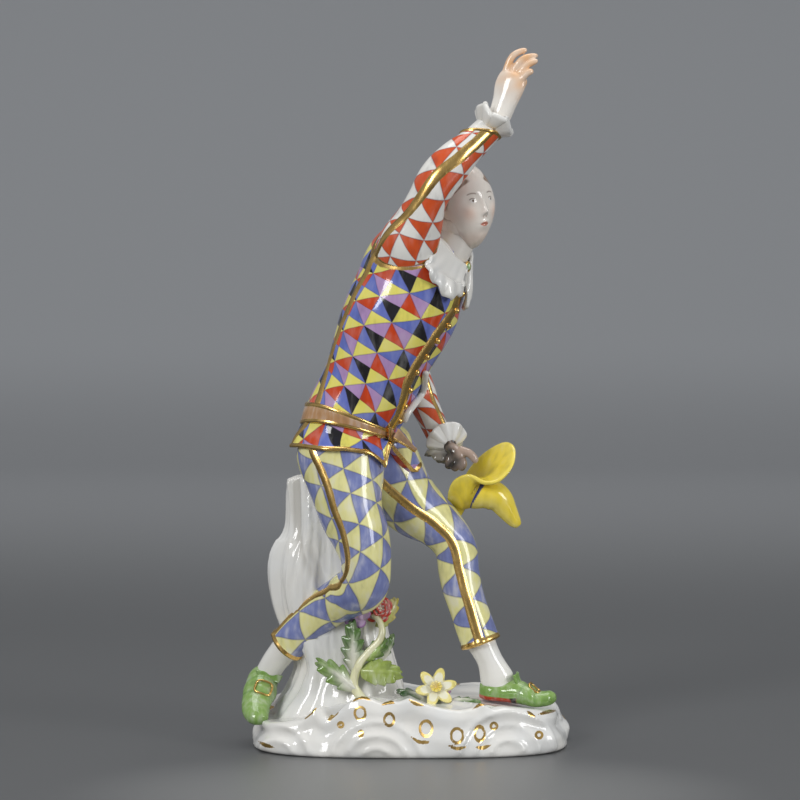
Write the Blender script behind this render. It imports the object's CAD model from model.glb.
# %% [markdown]
# # A porcelain stage comedian
# The piece is a glazed, painted and gilt statuette: a comedian in a patchwork suit leans back against a
# tree stump, raises one arm across the brow and holds a yellow hat in the other hand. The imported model
# gives the frame: its size, its origin on the underside, and +Z up. Every surface below is worked out in
# that frame.

import bpy
import numpy as np
from mathutils import Matrix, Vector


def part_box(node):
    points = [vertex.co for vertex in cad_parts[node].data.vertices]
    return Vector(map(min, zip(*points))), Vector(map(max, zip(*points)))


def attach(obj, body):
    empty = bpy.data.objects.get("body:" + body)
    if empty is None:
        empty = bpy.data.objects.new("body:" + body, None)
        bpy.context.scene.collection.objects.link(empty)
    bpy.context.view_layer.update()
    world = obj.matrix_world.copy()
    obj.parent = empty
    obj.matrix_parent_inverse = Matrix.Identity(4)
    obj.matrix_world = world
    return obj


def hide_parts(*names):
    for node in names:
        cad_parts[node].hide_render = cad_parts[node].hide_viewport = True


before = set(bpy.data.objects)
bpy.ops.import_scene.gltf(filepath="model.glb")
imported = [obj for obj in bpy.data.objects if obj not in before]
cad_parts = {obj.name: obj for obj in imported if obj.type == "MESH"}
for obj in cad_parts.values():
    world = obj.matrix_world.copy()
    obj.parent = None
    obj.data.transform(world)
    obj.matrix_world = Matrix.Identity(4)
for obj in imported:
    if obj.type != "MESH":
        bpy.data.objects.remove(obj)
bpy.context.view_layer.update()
low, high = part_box("comedian_figure")
unit = high.z / 106.7  # a hundredth of the figure's height, without its base
base_height = 7.143  # in these units
ground = base_height * unit  # the top of the base, where the feet stand
print("unit", round(unit * 1000, 3), "mm, ground at", round(ground * 1000, 2), "mm")

# %% [markdown]
# ## The camera
# A long lens from about 0.93 m keeps the figure's proportions, as in a catalogue picture. It comes first
# because the gilt lines on the base are laid out as they are seen from here.

# %% Camera
eye = np.array([-0.003, -0.930, 0.147])
camera = bpy.data.objects.new("camera", bpy.data.cameras.new("camera"))
camera.location = eye
look_down = 2.66  # degrees below the level
camera.rotation_euler = (np.radians(90 - look_down), 0, 0)
camera.data.lens = 138.8
camera.data.sensor_width = 36
bpy.context.scene.collection.objects.link(camera)
bpy.context.scene.camera = camera
print("lens", camera.data.lens, "mm")

# %% [markdown]
# ## Small sums used all over
# Carved forms are sums of bumps and smooth steps. They take whole arrays, so one line shapes a whole
# surface.


# %% Bumps, steps and directions
def bump(x, middle, width):
    """A bell: e to the power of minus the square of the distance from the middle over the width."""
    return np.exp(-(((x - middle) / width) ** 2))


def smooth(t):
    """A soft step from 0 to 1: 3 t squared minus 2 t cubed."""
    t = np.clip(t, 0, 1)
    return t * t * (3 - 2 * t)


def mix(a, b, t):
    """The value t of the way from a to b."""
    return a + (b - a) * t


def ridge(distance, half):
    """The height of a soft bead one unit high: 1 minus the square of the distance over its half width."""
    return np.clip(1 - (distance / half) ** 2, 0, 1)


def turned_by(angle, middle):
    """The angle from the middle, brought between minus half a turn and half a turn."""
    return (angle - middle + np.pi) % (2 * np.pi) - np.pi


def level(v):
    """A direction of length one: the vector over its length."""
    v = np.asarray(v, float)
    return v / np.maximum(np.linalg.norm(v, axis=-1, keepdims=True), 1e-9)


def square_axes(main, second):
    """Three square axes: one along main, one as near to second as it can be, and one across both."""
    first = level(main)
    other = level(np.asarray(second, float) - np.dot(second, first) * first)
    return np.array([first, other, np.cross(first, other)])


def from_axes(middle, axes, x, y, z):
    """The middle plus x, y and z along the three axes."""
    spread = [np.asarray(s)[..., None] * a for s, a in zip(np.broadcast_arrays(x, y, z), axes)]
    return np.asarray(middle) + spread[0] + spread[1] + spread[2]


def side_by_side(*values):
    """Arrays put side by side: the last axis of the result holds one value from each."""
    return np.stack(np.broadcast_arrays(*values), -1)


def table(points, x):
    """A value read off a short table of (x, value), straight between its rows."""
    points = np.asarray(points, float)
    return np.interp(x, points[:, 0], points[:, 1])


def soft_table(points, x, blur=0.04):
    """The same table, rounded at its corners: the mean of five readings about x."""
    return sum(table(points, x + k * blur) for k in (-1, -0.5, 0, 0.5, 1)) / 5


# %% [markdown]
# ## A limb along a curve
# Arms, legs and the trunk are round forms that bend and swell. Each is a smooth line through a few
# stations, with an oval section at each point of it. This is how a modeller thinks of a limb, and it keeps
# the numbers few.


# %% A line through stations, and a skin around it
def spline(points, t, slope=False):
    """Catmull-Rom between b and c: 0.5 (2b + (c-a)w + (2a-5b+4c-d)w^2 + (-a+3b-3c+d)w^3), or its slope."""
    p = np.asarray(points, float)
    padded = np.vstack([2 * p[0] - p[1], p, 2 * p[-1] - p[-2]])
    where = np.clip(t, 0, 1) * (len(p) - 1)
    i = np.minimum(where.astype(int), len(p) - 2)
    w = (where - i)[..., None]
    a, b, c, d = (padded[i + k] for k in range(4))
    if slope:
        return 0.5 * ((c - a) + 2 * (2 * a - 5 * b + 4 * c - d) * w + 3 * (-a + 3 * b - 3 * c + d) * w**2)
    return 0.5 * (2 * b + (c - a) * w + (2 * a - 5 * b + 4 * c - d) * w**2 + (-a + 3 * b - 3 * c + d) * w**3)


def limb_frame(path, side, share):
    """At a share of the path: its point, the directions of width and depth, and the two half sizes."""
    path = np.asarray(path, float)
    tangent = level(spline(path[:, :3], share, slope=True))
    side = np.broadcast_to(np.asarray(side, float), tangent.shape)
    across = level(side - (side * tangent).sum(-1, keepdims=True) * tangent)
    return spline(path[:, :3], share), across, np.cross(across, tangent), spline(path[:, 3:5], share)


def limb(path, side, angle, share, reach=1.0, proud=0.0):
    """line + cos(angle)(half width + proud) reach across + sin(angle)(half depth + proud) reach front."""
    angle, share, reach, proud = np.broadcast_arrays(angle, share, reach, proud)
    line, across, front, half = limb_frame(path, side, share)
    wide = np.cos(angle) * (half[..., 0] + proud) * reach
    deep = np.sin(angle) * (half[..., 1] + proud) * reach
    return line + wide[..., None] * across + deep[..., None] * front


def run_along(path, share):
    """The length of the path up to a share of it, from a chain of 2000 short steps."""
    steps = np.linspace(0, 1, 2001)
    chain = np.linalg.norm(np.diff(spline(np.asarray(path, float)[:, :3], steps), axis=0), axis=1)
    return np.interp(share, steps, np.concatenate([[0], np.cumsum(chain)]))


def half_size(path, share):
    """The mean of the two half sizes at a share of the path."""
    return spline(np.asarray(path, float)[:, 3:5], share).mean(-1)


def closing(share, start, end, over):
    """The section's size near each end: from 1 to start or end over that share, as a quarter circle."""
    near = np.clip(1 - share / over, 0, 1)
    far = np.clip(1 - (1 - share) / over, 0, 1)
    return (start + (1 - start) * np.sqrt(1 - near**2)) * (end + (1 - end) * np.sqrt(1 - far**2))


# %% [markdown]
# ## Where one form comes out of another
# A sleeve is sewn in at the armhole, which is the line where the arm's skin leaves the trunk's. The height
# of a point over another limb's skin is worked out here, so a gilt line can follow that seam on both sides.


# %% Height over another limb
def height_over(points, path, side, count=160):
    """How far points lie outside a limb: (r - 1) times the nearest section's size, r from its oval."""
    flat = points.reshape(-1, 3)
    share = np.linspace(0, 1, count)
    line, across, front, half = limb_frame(path, side, share)
    gap = ((flat[:, None, :] - line[None]) ** 2).sum(-1) / half.mean(-1) ** 2
    near = gap.argmin(1)
    away = flat - line[near]
    wide = (away * across[near]).sum(-1) / half[near, 0]
    deep = (away * front[near]).sum(-1) / half[near, 1]
    long = (away * np.cross(front, across)[near]).sum(-1) / half[near].mean(-1)
    return ((np.sqrt(wide**2 + deep**2 + long**2) - 1) * half[near].mean(-1)).reshape(points.shape[:-1])


# %% [markdown]
# ## From an array of points to a mesh
# A grid of points becomes quads. A shell wraps round on itself and is closed by a fan at each end; a sheet
# is a thin plate with two faces and a rim. What is painted on is stored as attributes, one number or colour
# for each vertex.

# %% Mesh makers
pieces = []
no_gold = 9.0  # the gilding of bare ware: gold lies where the value is below zero
no_triangles = np.zeros((0, 3), int)


def six_volumes(points, faces):
    """Six times the volume inside the faces: the sum of p0 . (p1 x p2) over their triangles."""
    first, second, third = (points[faces[:, k]] for k in range(3))
    volume = (first * np.cross(second, third)).sum()
    if faces.shape[1] == 4:
        volume += (first * np.cross(third, points[faces[:, 3]])).sum()
    return volume


def grid_quads(index):
    """The four corners of each cell of a grid of vertex numbers."""
    return np.stack([index[:-1, :-1], index[:-1, 1:], index[1:, 1:], index[1:, :-1]], -1).reshape(-1, 4)


def store(mesh, label, values):
    """Writes one attribute for each vertex: a number, or a colour of three shares."""
    values = np.asarray(values, np.float32)
    if values.ndim == 2:
        colour = np.column_stack([values, np.ones(len(values), np.float32)])
        mesh.attributes.new(label, "FLOAT_COLOR", "POINT").data.foreach_set("color", colour.ravel())
    else:
        numbers = np.broadcast_to(values, (len(mesh.vertices),))
        mesh.attributes.new(label, "FLOAT", "POINT").data.foreach_set("value", numbers)


def add_piece(name, mesh, material, paint):
    """Stores what is painted on, bare of gold unless it says so, sets the finish and lists the piece."""
    paint.setdefault("gilding", no_gold)
    for label, values in paint.items():
        store(mesh, label, values)
    mesh.materials.append(material)
    piece = bpy.data.objects.new(name, mesh)
    bpy.context.scene.collection.objects.link(piece)
    pieces.append(piece)
    print(f"{name}: {len(mesh.loops) - 2 * len(mesh.polygons)} triangles")
    return piece


def build(name, points, quads, triangles, material, uv, paint):
    """Puts the points (figure units), faces, UVs by corner and attributes by vertex into a mesh in metres."""
    if six_volumes(points, quads) + six_volumes(points, triangles) < 0:  # the faces look inward
        quads, triangles = quads[:, ::-1], triangles[:, ::-1]
        uv = None if uv is None else (uv[0][:, ::-1], uv[1][:, ::-1])
    mesh = bpy.data.meshes.new(name)
    mesh.vertices.add(len(points))
    mesh.vertices.foreach_set("co", (points * unit + [0, 0, ground]).astype(np.float32).ravel())
    corners = np.concatenate([quads.ravel(), triangles.ravel()]).astype(np.int32)
    sizes = np.concatenate([np.full(len(quads), 4), np.full(len(triangles), 3)]).astype(np.int32)
    mesh.loops.add(len(corners))
    mesh.loops.foreach_set("vertex_index", corners)
    mesh.polygons.add(len(sizes))
    mesh.polygons.foreach_set("loop_start", np.concatenate([[0], np.cumsum(sizes)[:-1]]).astype(np.int32))
    mesh.update(calc_edges=True)
    mesh.shade_smooth()
    if uv is not None:
        layer = mesh.uv_layers.new(name="lattice")
        layer.data.foreach_set("uv", np.concatenate([uv[0].ravel(), uv[1].ravel()]).astype(np.float32))
    return add_piece(name, mesh, material, paint)


def with_ends(values, shape):
    """A grid's values in a row, with one more for the middle of each end."""
    values = np.broadcast_to(values, shape + np.shape(values)[2:])
    flat = values.reshape(-1, *values.shape[2:])
    return np.concatenate([flat, values[:1].mean(1), values[-1:].mean(1)])


def shell(name, grid, material, lattice=None, **paint):
    """A closed skin: rows along, columns round, with a fan from the middle of the first and the last row."""
    rows, columns = grid.shape[:2]
    index = np.arange(rows * columns).reshape(rows, columns)
    wrap = np.column_stack([index, index[:, 0]])
    quads = grid_quads(wrap)
    start, end = rows * columns, rows * columns + 1
    fans = [np.stack([np.full(columns, start), wrap[0, 1:], wrap[0, :-1]], -1)]
    fans.append(np.stack([np.full(columns, end), wrap[-1, :-1], wrap[-1, 1:]], -1))
    uv = None
    if lattice is not None:
        u = [lattice[:-1, :-1], lattice[:-1, 1:], lattice[1:, 1:], lattice[1:, :-1]]
        top = [lattice[0, :-1], lattice[0, 1:], lattice[0, :-1]]
        foot = [lattice[-1, :-1], lattice[-1, :-1], lattice[-1, 1:]]
        uv = (np.stack(u, -2).reshape(-1, 4, 2), np.concatenate([np.stack(top, -2), np.stack(foot, -2)]))
    points = with_ends(grid, (rows, columns))
    paint = {k: with_ends(v, (rows, columns)) for k, v in paint.items()}
    return build(name, points, quads, np.concatenate(fans), material, uv, paint)


def normals_of(grid, round_about):
    """The unit normal at each grid point: the cross product of the steps along columns and rows."""
    if round_about:
        along = np.roll(grid, -1, 1) - np.roll(grid, 1, 1)
    else:
        along = np.gradient(grid, axis=1)
    return level(np.cross(along, np.gradient(grid, axis=0)))


def sheet(name, middle, thickness, material, round_about=True, **paint):
    """A plate: the middle surface moved half its thickness each way along the normal, with a closed rim."""
    rows, columns = middle.shape[:2]
    half = (np.broadcast_to(thickness, (rows, columns)) / 2)[..., None] * normals_of(middle, round_about)
    points = np.concatenate([(middle + half).reshape(-1, 3), (middle - half).reshape(-1, 3)])
    index = np.arange(rows * columns).reshape(rows, columns)
    wrap = np.column_stack([index, index[:, 0]]) if round_about else index
    upper = grid_quads(wrap)
    under = upper[:, ::-1] + rows * columns
    rims = [np.stack([wrap[0, 1:], wrap[0, :-1]], -1), np.stack([wrap[-1, :-1], wrap[-1, 1:]], -1)]
    if not round_about:
        rims.append(np.stack([index[:-1, 0], index[1:, 0]], -1))
        rims.append(np.stack([index[1:, -1], index[:-1, -1]], -1))
    rims = [np.concatenate([r, r[:, ::-1] + rows * columns], -1) for r in rims]
    quads = np.concatenate([upper, under, *rims])
    flat = {}
    for label, values in paint.items():
        values = values if isinstance(values, tuple) else (values, values)
        full = [np.broadcast_to(v, (rows, columns) + np.shape(v)[2:]) for v in values]
        flat[label] = np.concatenate([v.reshape(rows * columns, *v.shape[2:]) for v in full])
    return build(name, points, quads, no_triangles, material, None, flat)


def cord_ring(name, line, radius, material, **paint):
    """A closed cord: a circle carried round a closed line, square to it."""
    ahead = level(np.roll(line, -1, 0) - np.roll(line, 1, 0))
    out = level(line - line.mean(0))
    third = np.cross(ahead, out)
    a = turn(12)[0][:, None, None]
    points = line[None] + radius * (np.cos(a) * out[None] + np.sin(a) * third[None])
    size = points.shape[:2]
    index = np.arange(size[0] * size[1]).reshape(size)
    quads = grid_quads(np.pad(index, ((0, 1), (0, 1)), mode="wrap"))
    values = {}
    for label, value in paint.items():
        tail = (3,) if label == "tint" else ()
        values[label] = np.broadcast_to(value, size + tail).reshape(size[0] * size[1], *tail)
    return build(name, points.reshape(-1, 3), quads, no_triangles, material, None, values)


def rounded(distance, radius):
    """The share of a plate's thickness at a distance from its edge, which makes the edge a half round."""
    return np.sqrt(np.clip(1 - np.clip(1 - distance / radius, 0, 1) ** 2, 0.02, 1))


# %% [markdown]
# ## Glaze, enamel and gilding
# Hard-paste porcelain is white, with a clear glaze that pools a little unevenly. Enamel colours are painted
# on top with a soft brush, so they are streaky and a shade darker where a stroke ends, and the gilding is
# burnished metal that keeps fine brush marks. One maker of materials lays these over each other, as the
# painter did.


# %% Shader helpers
class Paint:
    """A material being made, with short ways to add and join its nodes."""

    def __init__(self, name):
        self.material = bpy.data.materials.new(name)
        self.material.use_nodes = True
        self.nodes = self.material.node_tree.nodes
        self.links = self.material.node_tree.links
        self.shader = self.nodes["Principled BSDF"]
        self.place = self.nodes.new("ShaderNodeTexCoord").outputs["Object"]

    def feed(self, socket, value):
        """Links an output to a socket, or sets a constant on it."""
        if isinstance(value, bpy.types.NodeSocket):
            self.links.new(value, socket)
        elif isinstance(value, tuple) and socket.type == "RGBA":
            socket.default_value = (*value, 1)
        else:
            socket.default_value = value

    def sum(self, operation, *values):
        """One step of arithmetic."""
        node = self.nodes.new("ShaderNodeMath")
        node.operation = operation
        for socket, value in zip(node.inputs, values):
            self.feed(socket, value)
        return node.outputs[0]

    def clouds(self, scale, detail, stretch=None):
        """Soft noise from 0 to 1, of so many waves in a metre, stretched by three factors if given."""
        vector = self.place
        if stretch:
            mapping = self.nodes.new("ShaderNodeMapping")
            mapping.inputs["Scale"].default_value = stretch
            self.links.new(vector, mapping.inputs["Vector"])
            vector = mapping.outputs["Vector"]
        node = self.nodes.new("ShaderNodeTexNoise")
        node.inputs["Scale"].default_value = scale
        node.inputs["Detail"].default_value = detail
        self.links.new(vector, node.inputs["Vector"])
        return node.outputs["Fac"]

    def attribute(self, name, colour=False):
        """A number or a colour stored for each vertex."""
        node = self.nodes.new("ShaderNodeAttribute")
        node.attribute_name = name
        return node.outputs["Color" if colour else "Fac"]

    def ease(self, value, start, end, low=0.0, high=1.0):
        """A soft step: low before start, high after end."""
        node = self.nodes.new("ShaderNodeMapRange")
        node.interpolation_type = "SMOOTHSTEP"
        for socket, number in zip(node.inputs, (value, start, end, low, high)):
            self.feed(socket, number)
        return node.outputs["Result"]

    def blend(self, first, second, share):
        """One colour laid over another by a share."""
        node = self.nodes.new("ShaderNodeMix")
        node.data_type = "RGBA"
        for socket, value in (("Factor", share), (6, first), (7, second)):
            self.feed(node.inputs[socket], value)
        return node.outputs[2]

    def stops(self, value, colours):
        """A ladder of colours, one for each equal step of the value from 0 to 1, with hard edges."""
        node = self.nodes.new("ShaderNodeValToRGB")
        ramp = node.color_ramp
        ramp.interpolation = "CONSTANT"
        ramp.elements[0].color = (*colours[0], 1)
        ramp.elements[1].position = 1 / len(colours)
        ramp.elements[1].color = (*colours[1], 1)
        for i, colour in enumerate(colours[2:], 2):
            ramp.elements.new(i / len(colours)).color = (*colour, 1)
        self.links.new(value, node.inputs["Fac"])
        return node.outputs["Color"]


# %% Porcelain colours, as shares of light
white_ware = (0.80, 0.785, 0.74)
gold = (0.80, 0.53, 0.18)
lemon = (0.82, 0.74, 0.15)
pale_lemon = (0.80, 0.76, 0.34)
iron_red = (0.60, 0.060, 0.010)
orange_red = (0.64, 0.090, 0.020)
black = (0.012, 0.011, 0.012)
cornflower = (0.135, 0.175, 0.52)
pale_blue = (0.20, 0.235, 0.48)
lilac = (0.45, 0.28, 0.52)
hat_yellow = (0.84, 0.66, 0.055)
leather = (0.46, 0.25, 0.11)
shoe_green = (0.19, 0.34, 0.075)
flesh = (0.80, 0.47, 0.24)


# %% The glaze over it all
def finish(paint, colour):
    """Lays gilding over the colour where the gilding attribute is below zero, and sets the glaze."""
    brush = paint.clouds(900, 2, stretch=(1, 1, 0.25))
    wave = paint.sum("MULTIPLY", paint.sum("SUBTRACT", brush, 0.5), 0.12)
    gilt = paint.ease(paint.sum("ADD", paint.attribute("gilding"), wave), -0.05, 0.04, 1.0, 0.0)
    worn = paint.blend(gold, (0.55, 0.32, 0.09), paint.ease(paint.clouds(300, 2), 0.45, 0.75, 0.0, 0.6))
    paint.feed(paint.shader.inputs["Metallic"], gilt)
    paint.feed(paint.shader.inputs["Base Color"], paint.blend(colour, worn, gilt))
    rough = paint.ease(paint.clouds(260, 3), 0.3, 0.8, 0.07, 0.13)
    rough = paint.sum("ADD", rough, paint.sum("MULTIPLY", gilt, paint.ease(brush, 0.3, 0.7, 0.12, 0.2)))
    paint.feed(paint.shader.inputs["Roughness"], rough)
    paint.shader.inputs["IOR"].default_value = 1.52
    relief = paint.nodes.new("ShaderNodeBump")
    strength = paint.sum("SUBTRACT", 0.35, paint.sum("MULTIPLY", gilt, 0.28))
    paint.feed(relief.inputs["Strength"], strength)
    relief.inputs["Distance"].default_value = 0.0004
    paint.feed(relief.inputs["Height"], paint.clouds(150, 2))
    paint.links.new(relief.outputs["Normal"], paint.shader.inputs["Normal"])
    return paint.material


def body_white(paint):
    """The ware's white, warmer here and cooler there: grey up to a hollow of 1, and deep shade above it."""
    tone = paint.blend(white_ware, (0.765, 0.765, 0.745), paint.ease(paint.clouds(70, 3), 0.35, 0.7))
    hollow = paint.attribute("hollow")
    tone = paint.blend(tone, (0.42, 0.40, 0.35), paint.ease(hollow, 0.0, 1.0, 0.0, 0.6))
    return paint.blend(tone, (0.16, 0.14, 0.11), paint.ease(hollow, 1.0, 2.0, 0.0, 0.8))


def streaky(paint, colour, light, dark, scale=420):
    """A brushed enamel: the colour thinned over the white or laid thick, in soft pools and fine streaks."""
    pool = paint.clouds(130, 2)
    streak = paint.clouds(scale, 4, stretch=(1, 1, 0.3))
    both = paint.sum("ADD", paint.sum("MULTIPLY", pool, 0.45), paint.sum("MULTIPLY", streak, 0.55))
    thin = paint.blend(colour, (0.80, 0.79, 0.78), paint.ease(both, 0.46, 0.68, 0.0, light))
    return paint.blend(thin, (0.02, 0.02, 0.05), paint.ease(both, 0.50, 0.32, 0.0, dark))


# %% [markdown]
# ## The patchwork
# The jacket is painted in lozenges that stand on their points along the body, each cut by both diagonals
# into four triangles. The UV map counts lozenges: its whole parts name the lozenge and its fractions say
# where in it a point lies, so the pattern bends with the cloth. The breeches and sleeves have plain rows of
# two-coloured triangles.


# %% Patterned enamels
def lattice_parts(paint, wobble=0.07):
    """The lattice's whole parts and fractions, with the painter's small unevenness added first."""
    shake = paint.nodes.new("ShaderNodeTexNoise")
    shake.inputs["Scale"].default_value = 160
    shake.inputs["Detail"].default_value = 1
    paint.links.new(paint.place, shake.inputs["Vector"])
    centred = paint.nodes.new("ShaderNodeVectorMath")
    centred.operation = "MULTIPLY_ADD"
    paint.links.new(shake.outputs["Color"], centred.inputs[0])
    centred.inputs[1].default_value = (wobble, wobble, 0)
    map_node = paint.nodes.new("ShaderNodeUVMap")
    map_node.uv_map = "lattice"
    paint.links.new(map_node.outputs["UV"], centred.inputs[2])
    split = paint.nodes.new("ShaderNodeSeparateXYZ")
    paint.links.new(centred.outputs[0], split.inputs[0])
    u = paint.sum("SUBTRACT", split.outputs["X"], wobble / 2)
    v = paint.sum("SUBTRACT", split.outputs["Y"], wobble / 2)
    return [paint.sum("FLOOR", u), paint.sum("FLOOR", v), paint.sum("FRACT", u), paint.sum("FRACT", v)]


def four_sides(paint, fu, fv):
    """The distances of a point from the four sides of its lozenge."""
    return [fu, fv, paint.sum("SUBTRACT", 1.0, fu), paint.sum("SUBTRACT", 1.0, fv)]


def edge_tone(paint, colour, lines, width):
    """A shade darker close to any of the lines, given as distances, where a stroke of enamel ends."""
    nearest = lines[0]
    for line in lines[1:]:
        nearest = paint.sum("MINIMUM", nearest, line)
    return paint.blend(colour, (0.05, 0.04, 0.08), paint.ease(nearest, 0.0, width, 0.42, 0.0))


def patchwork(name, columns):
    """Lozenges in columns of four colours each: top, right, bottom and left."""
    paint = Paint(name)
    cu, cv, fu, fv = lattice_parts(paint)
    right_up = paint.sum("GREATER_THAN", fu, fv)
    beyond = paint.sum("GREATER_THAN", paint.sum("ADD", fu, fv), 1.0)
    # 0 top, 1 right, 2 bottom, 3 left
    inner = paint.sum("MULTIPLY", beyond, paint.sum("SUBTRACT", 2.0, right_up))
    outer = paint.sum("MULTIPLY", paint.sum("SUBTRACT", 1.0, right_up), paint.sum("SUBTRACT", 1.0, beyond))
    part = paint.sum("ADD", inner, paint.sum("MULTIPLY", outer, 3.0))
    column = paint.sum("FLOORED_MODULO", paint.sum("ADD", cu, cv), float(len(columns)))
    place = paint.sum("ADD", paint.sum("MULTIPLY", column, 4.0), paint.sum("ADD", part, 0.5))
    step = paint.sum("DIVIDE", place, 4.0 * len(columns))
    colour = paint.stops(step, [c for four in columns for c in four])
    colour = streaky(paint, colour, light=0.14, dark=0.25)
    sides = four_sides(paint, fu, fv)
    cuts = [paint.sum("ABSOLUTE", paint.sum("SUBTRACT", fu, fv))]
    cuts.append(paint.sum("ABSOLUTE", paint.sum("SUBTRACT", paint.sum("ADD", fu, fv), 1.0)))
    return finish(paint, edge_tone(paint, colour, sides + cuts, 0.035))


def triangles(name, first, second, rising=True, thin=0.5):
    """Rows of triangles: first where fu + fv < 1 (rising) or fu > fv (falling), and second elsewhere."""
    paint = Paint(name)
    fu, fv = lattice_parts(paint)[2:]
    if rising:
        cut = paint.sum("SUBTRACT", 1.0, paint.sum("ADD", fu, fv))
    else:
        cut = paint.sum("SUBTRACT", fu, fv)
    chosen = paint.blend(second, first, paint.sum("GREATER_THAN", cut, 0.0))
    colour = streaky(paint, chosen, light=thin, dark=0.25)
    sides = four_sides(paint, fu, fv) + [paint.sum("ABSOLUTE", cut)]
    return finish(paint, edge_tone(paint, colour, sides, 0.05))


patches = [
    (lilac, iron_red, lemon, black),
    (cornflower, black, lemon, lilac),
    (iron_red, cornflower, lemon, cornflower),
    (iron_red, cornflower, lemon, lilac),
]
jacket_paint = patchwork("jacket_patchwork", patches)
right_breeches_paint = triangles("breeches_right", pale_blue, pale_lemon)
left_breeches_paint = triangles("breeches_left", pale_lemon, pale_blue)
sleeve_paint = triangles("sleeve", orange_red, white_ware, rising=False, thin=0.1)
print("patterned enamels made")


# %% Plain and tinted enamels
def white_porcelain(name):
    """Bare glazed ware, with gilding where it is marked."""
    paint = Paint(name)
    return finish(paint, body_white(paint))


def tinted_porcelain(name, light=0.3, dark=0.25, scale=600):
    """Enamel in the colours stored for each vertex, brushed on."""
    paint = Paint(name)
    return finish(paint, streaky(paint, paint.attribute("tint", colour=True), light, dark, scale=scale))


white_paint = white_porcelain("white_porcelain")
tinted_paint = tinted_porcelain("tinted_porcelain")
skin_paint = tinted_porcelain("skin_porcelain", light=0.1, dark=0.05, scale=250)
hat_paint = tinted_porcelain("hat_porcelain", light=0.12, dark=0.22, scale=350)
print("plain enamels made")


def tint(colour, shape):
    """The same colour for every point of a grid."""
    return np.broadcast_to(np.asarray(colour, float), shape + (3,)).copy()


def skin(warmth, shape):
    """The ware's white with a share of flesh in it, for every point of a grid."""
    return tint(mix(np.array(white_ware), np.array(flesh), warmth), shape)


def over(under, colour, share):
    """A colour laid over another by a share at each point."""
    return under + (np.asarray(colour, float) - under) * np.clip(share, 0, 1)[..., None]


def turn(count, start=-np.pi):
    """Angles all the way round from a start, in one row."""
    return (start + np.arange(count) * 2 * np.pi / count)[None, :]


def rows(count):
    """Shares from 0 to 1, in one column."""
    return np.linspace(0, 1, count)[:, None]


# %% [markdown]
# ## The base and the stump
# The base is a low block with a scrolled edge, and the ground swells up from it into the stump. They are
# built as two closed shells, then fused by a fine voxel remesh and smoothed, which gives the soft joins of
# slipped clay.

# %% Base and stump shells
base_length, base_depth = 96 / 1.96, 66 / 1.96  # millimetres over a unit's millimetres


def outline(angle):
    """A squarish oval: (|cos/a|^3 + |sin/b|^3) to the power of minus a third."""
    c = np.abs(np.cos(angle)) / (base_length / 2)
    s = np.abs(np.sin(angle)) / (base_depth / 2)
    return (c**3 + s**3) ** (-1 / 3)


front_edge = [(-21.7, -2.9), (-18.1, -2.0), (-15.7, -1.4), (-14.6, -0.3), (-14.1, 0.5), (-13.5, -0.3),
              (-12.9, -1.1), (-12.3, -1.4), (-11.6, -1.0), (-10.9, -0.3), (-8.9, 1.6), (-7.4, 2.1),
              (-5.9, 1.8), (-4.2, 1.1), (-2.9, 1.5), (-1.7, 1.3), (-0.2, 1.9), (1.9, 1.1), (3.0, 0.8),
              (5.0, 0.3), (7.6, 0), (9.8, 0.3), (10.8, 1.1), (12.4, 0.1), (14.2, 0.4), (17.0, 0),
              (19.7, -0.6), (22.3, -1.7)]


def rim_height(angle):
    """The height of the edge: a table of steps along the front, and small waves round the back."""
    turned = np.degrees(angle) % 360
    dip = 0.42 * bump(turned, 190, 32) + 0.3 * bump(turned, 0, 14) + 0.3 * bump(turned, 360, 14)
    around = base_height * (0.98 - dip + 0.05 * np.cos(np.radians(turned * 7)))
    front = base_height + table(front_edge, 0.9 * outline(angle) * np.cos(angle))
    return mix(around, front, smooth((-np.sin(angle) - 0.05) / 0.25))


front_shells = [((-5.0, -7.4), (2.2, 4.4, 6.6)), ((14.5, -6.6), (2.4, 4.8, 7.2)), ((-20, -7), (2.5, 5))]


def scrolls(x, z):
    """Low C-shaped ridges round three shells: bells of the distance from circles about each middle."""
    raised = np.zeros_like(x)
    for middle, radii in front_shells:
        far = np.hypot((x - middle[0]), (z - middle[1]) * 1.15)
        for radius in radii:
            raised += bump(far, radius, 0.45)
    return raised


profile = np.array([[0, 0], [0.975, 0], [0.992, 0.05], [0.995, 0.12], [0.985, 0.35], [0.94, 0.6],
                    [0.945, 0.82], [0.92, 0.97], [0.88, 1.0], [0.8, 0.97], [0.55, 1], [0, 1]])
along = rows(150)
angle = turn(640)
steps = np.linspace(0, 1, len(profile))
share = np.interp(along, steps, profile[:, 0])
rise = np.interp(along, steps, profile[:, 1])
lobes = 0.55 * np.sin(angle * 9) * smooth(share) * np.sin(np.pi * rise) * (share > 0.7)
reach = outline(angle) * share + lobes
top = mix(base_height, rim_height(angle), smooth(share / 0.9))
block = side_by_side(reach * np.cos(angle), reach * np.sin(angle), rise * top - base_height)
side_face = smooth((share - 0.8) / 0.1) * smooth(rise / 0.15)
pattern_x = np.where(block[..., 1] < 0, block[..., 0], -block[..., 0])
block += 0.45 * (scrolls(pattern_x, block[..., 2]) * side_face)[..., None] * level(block * [1, 1, 0])

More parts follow.
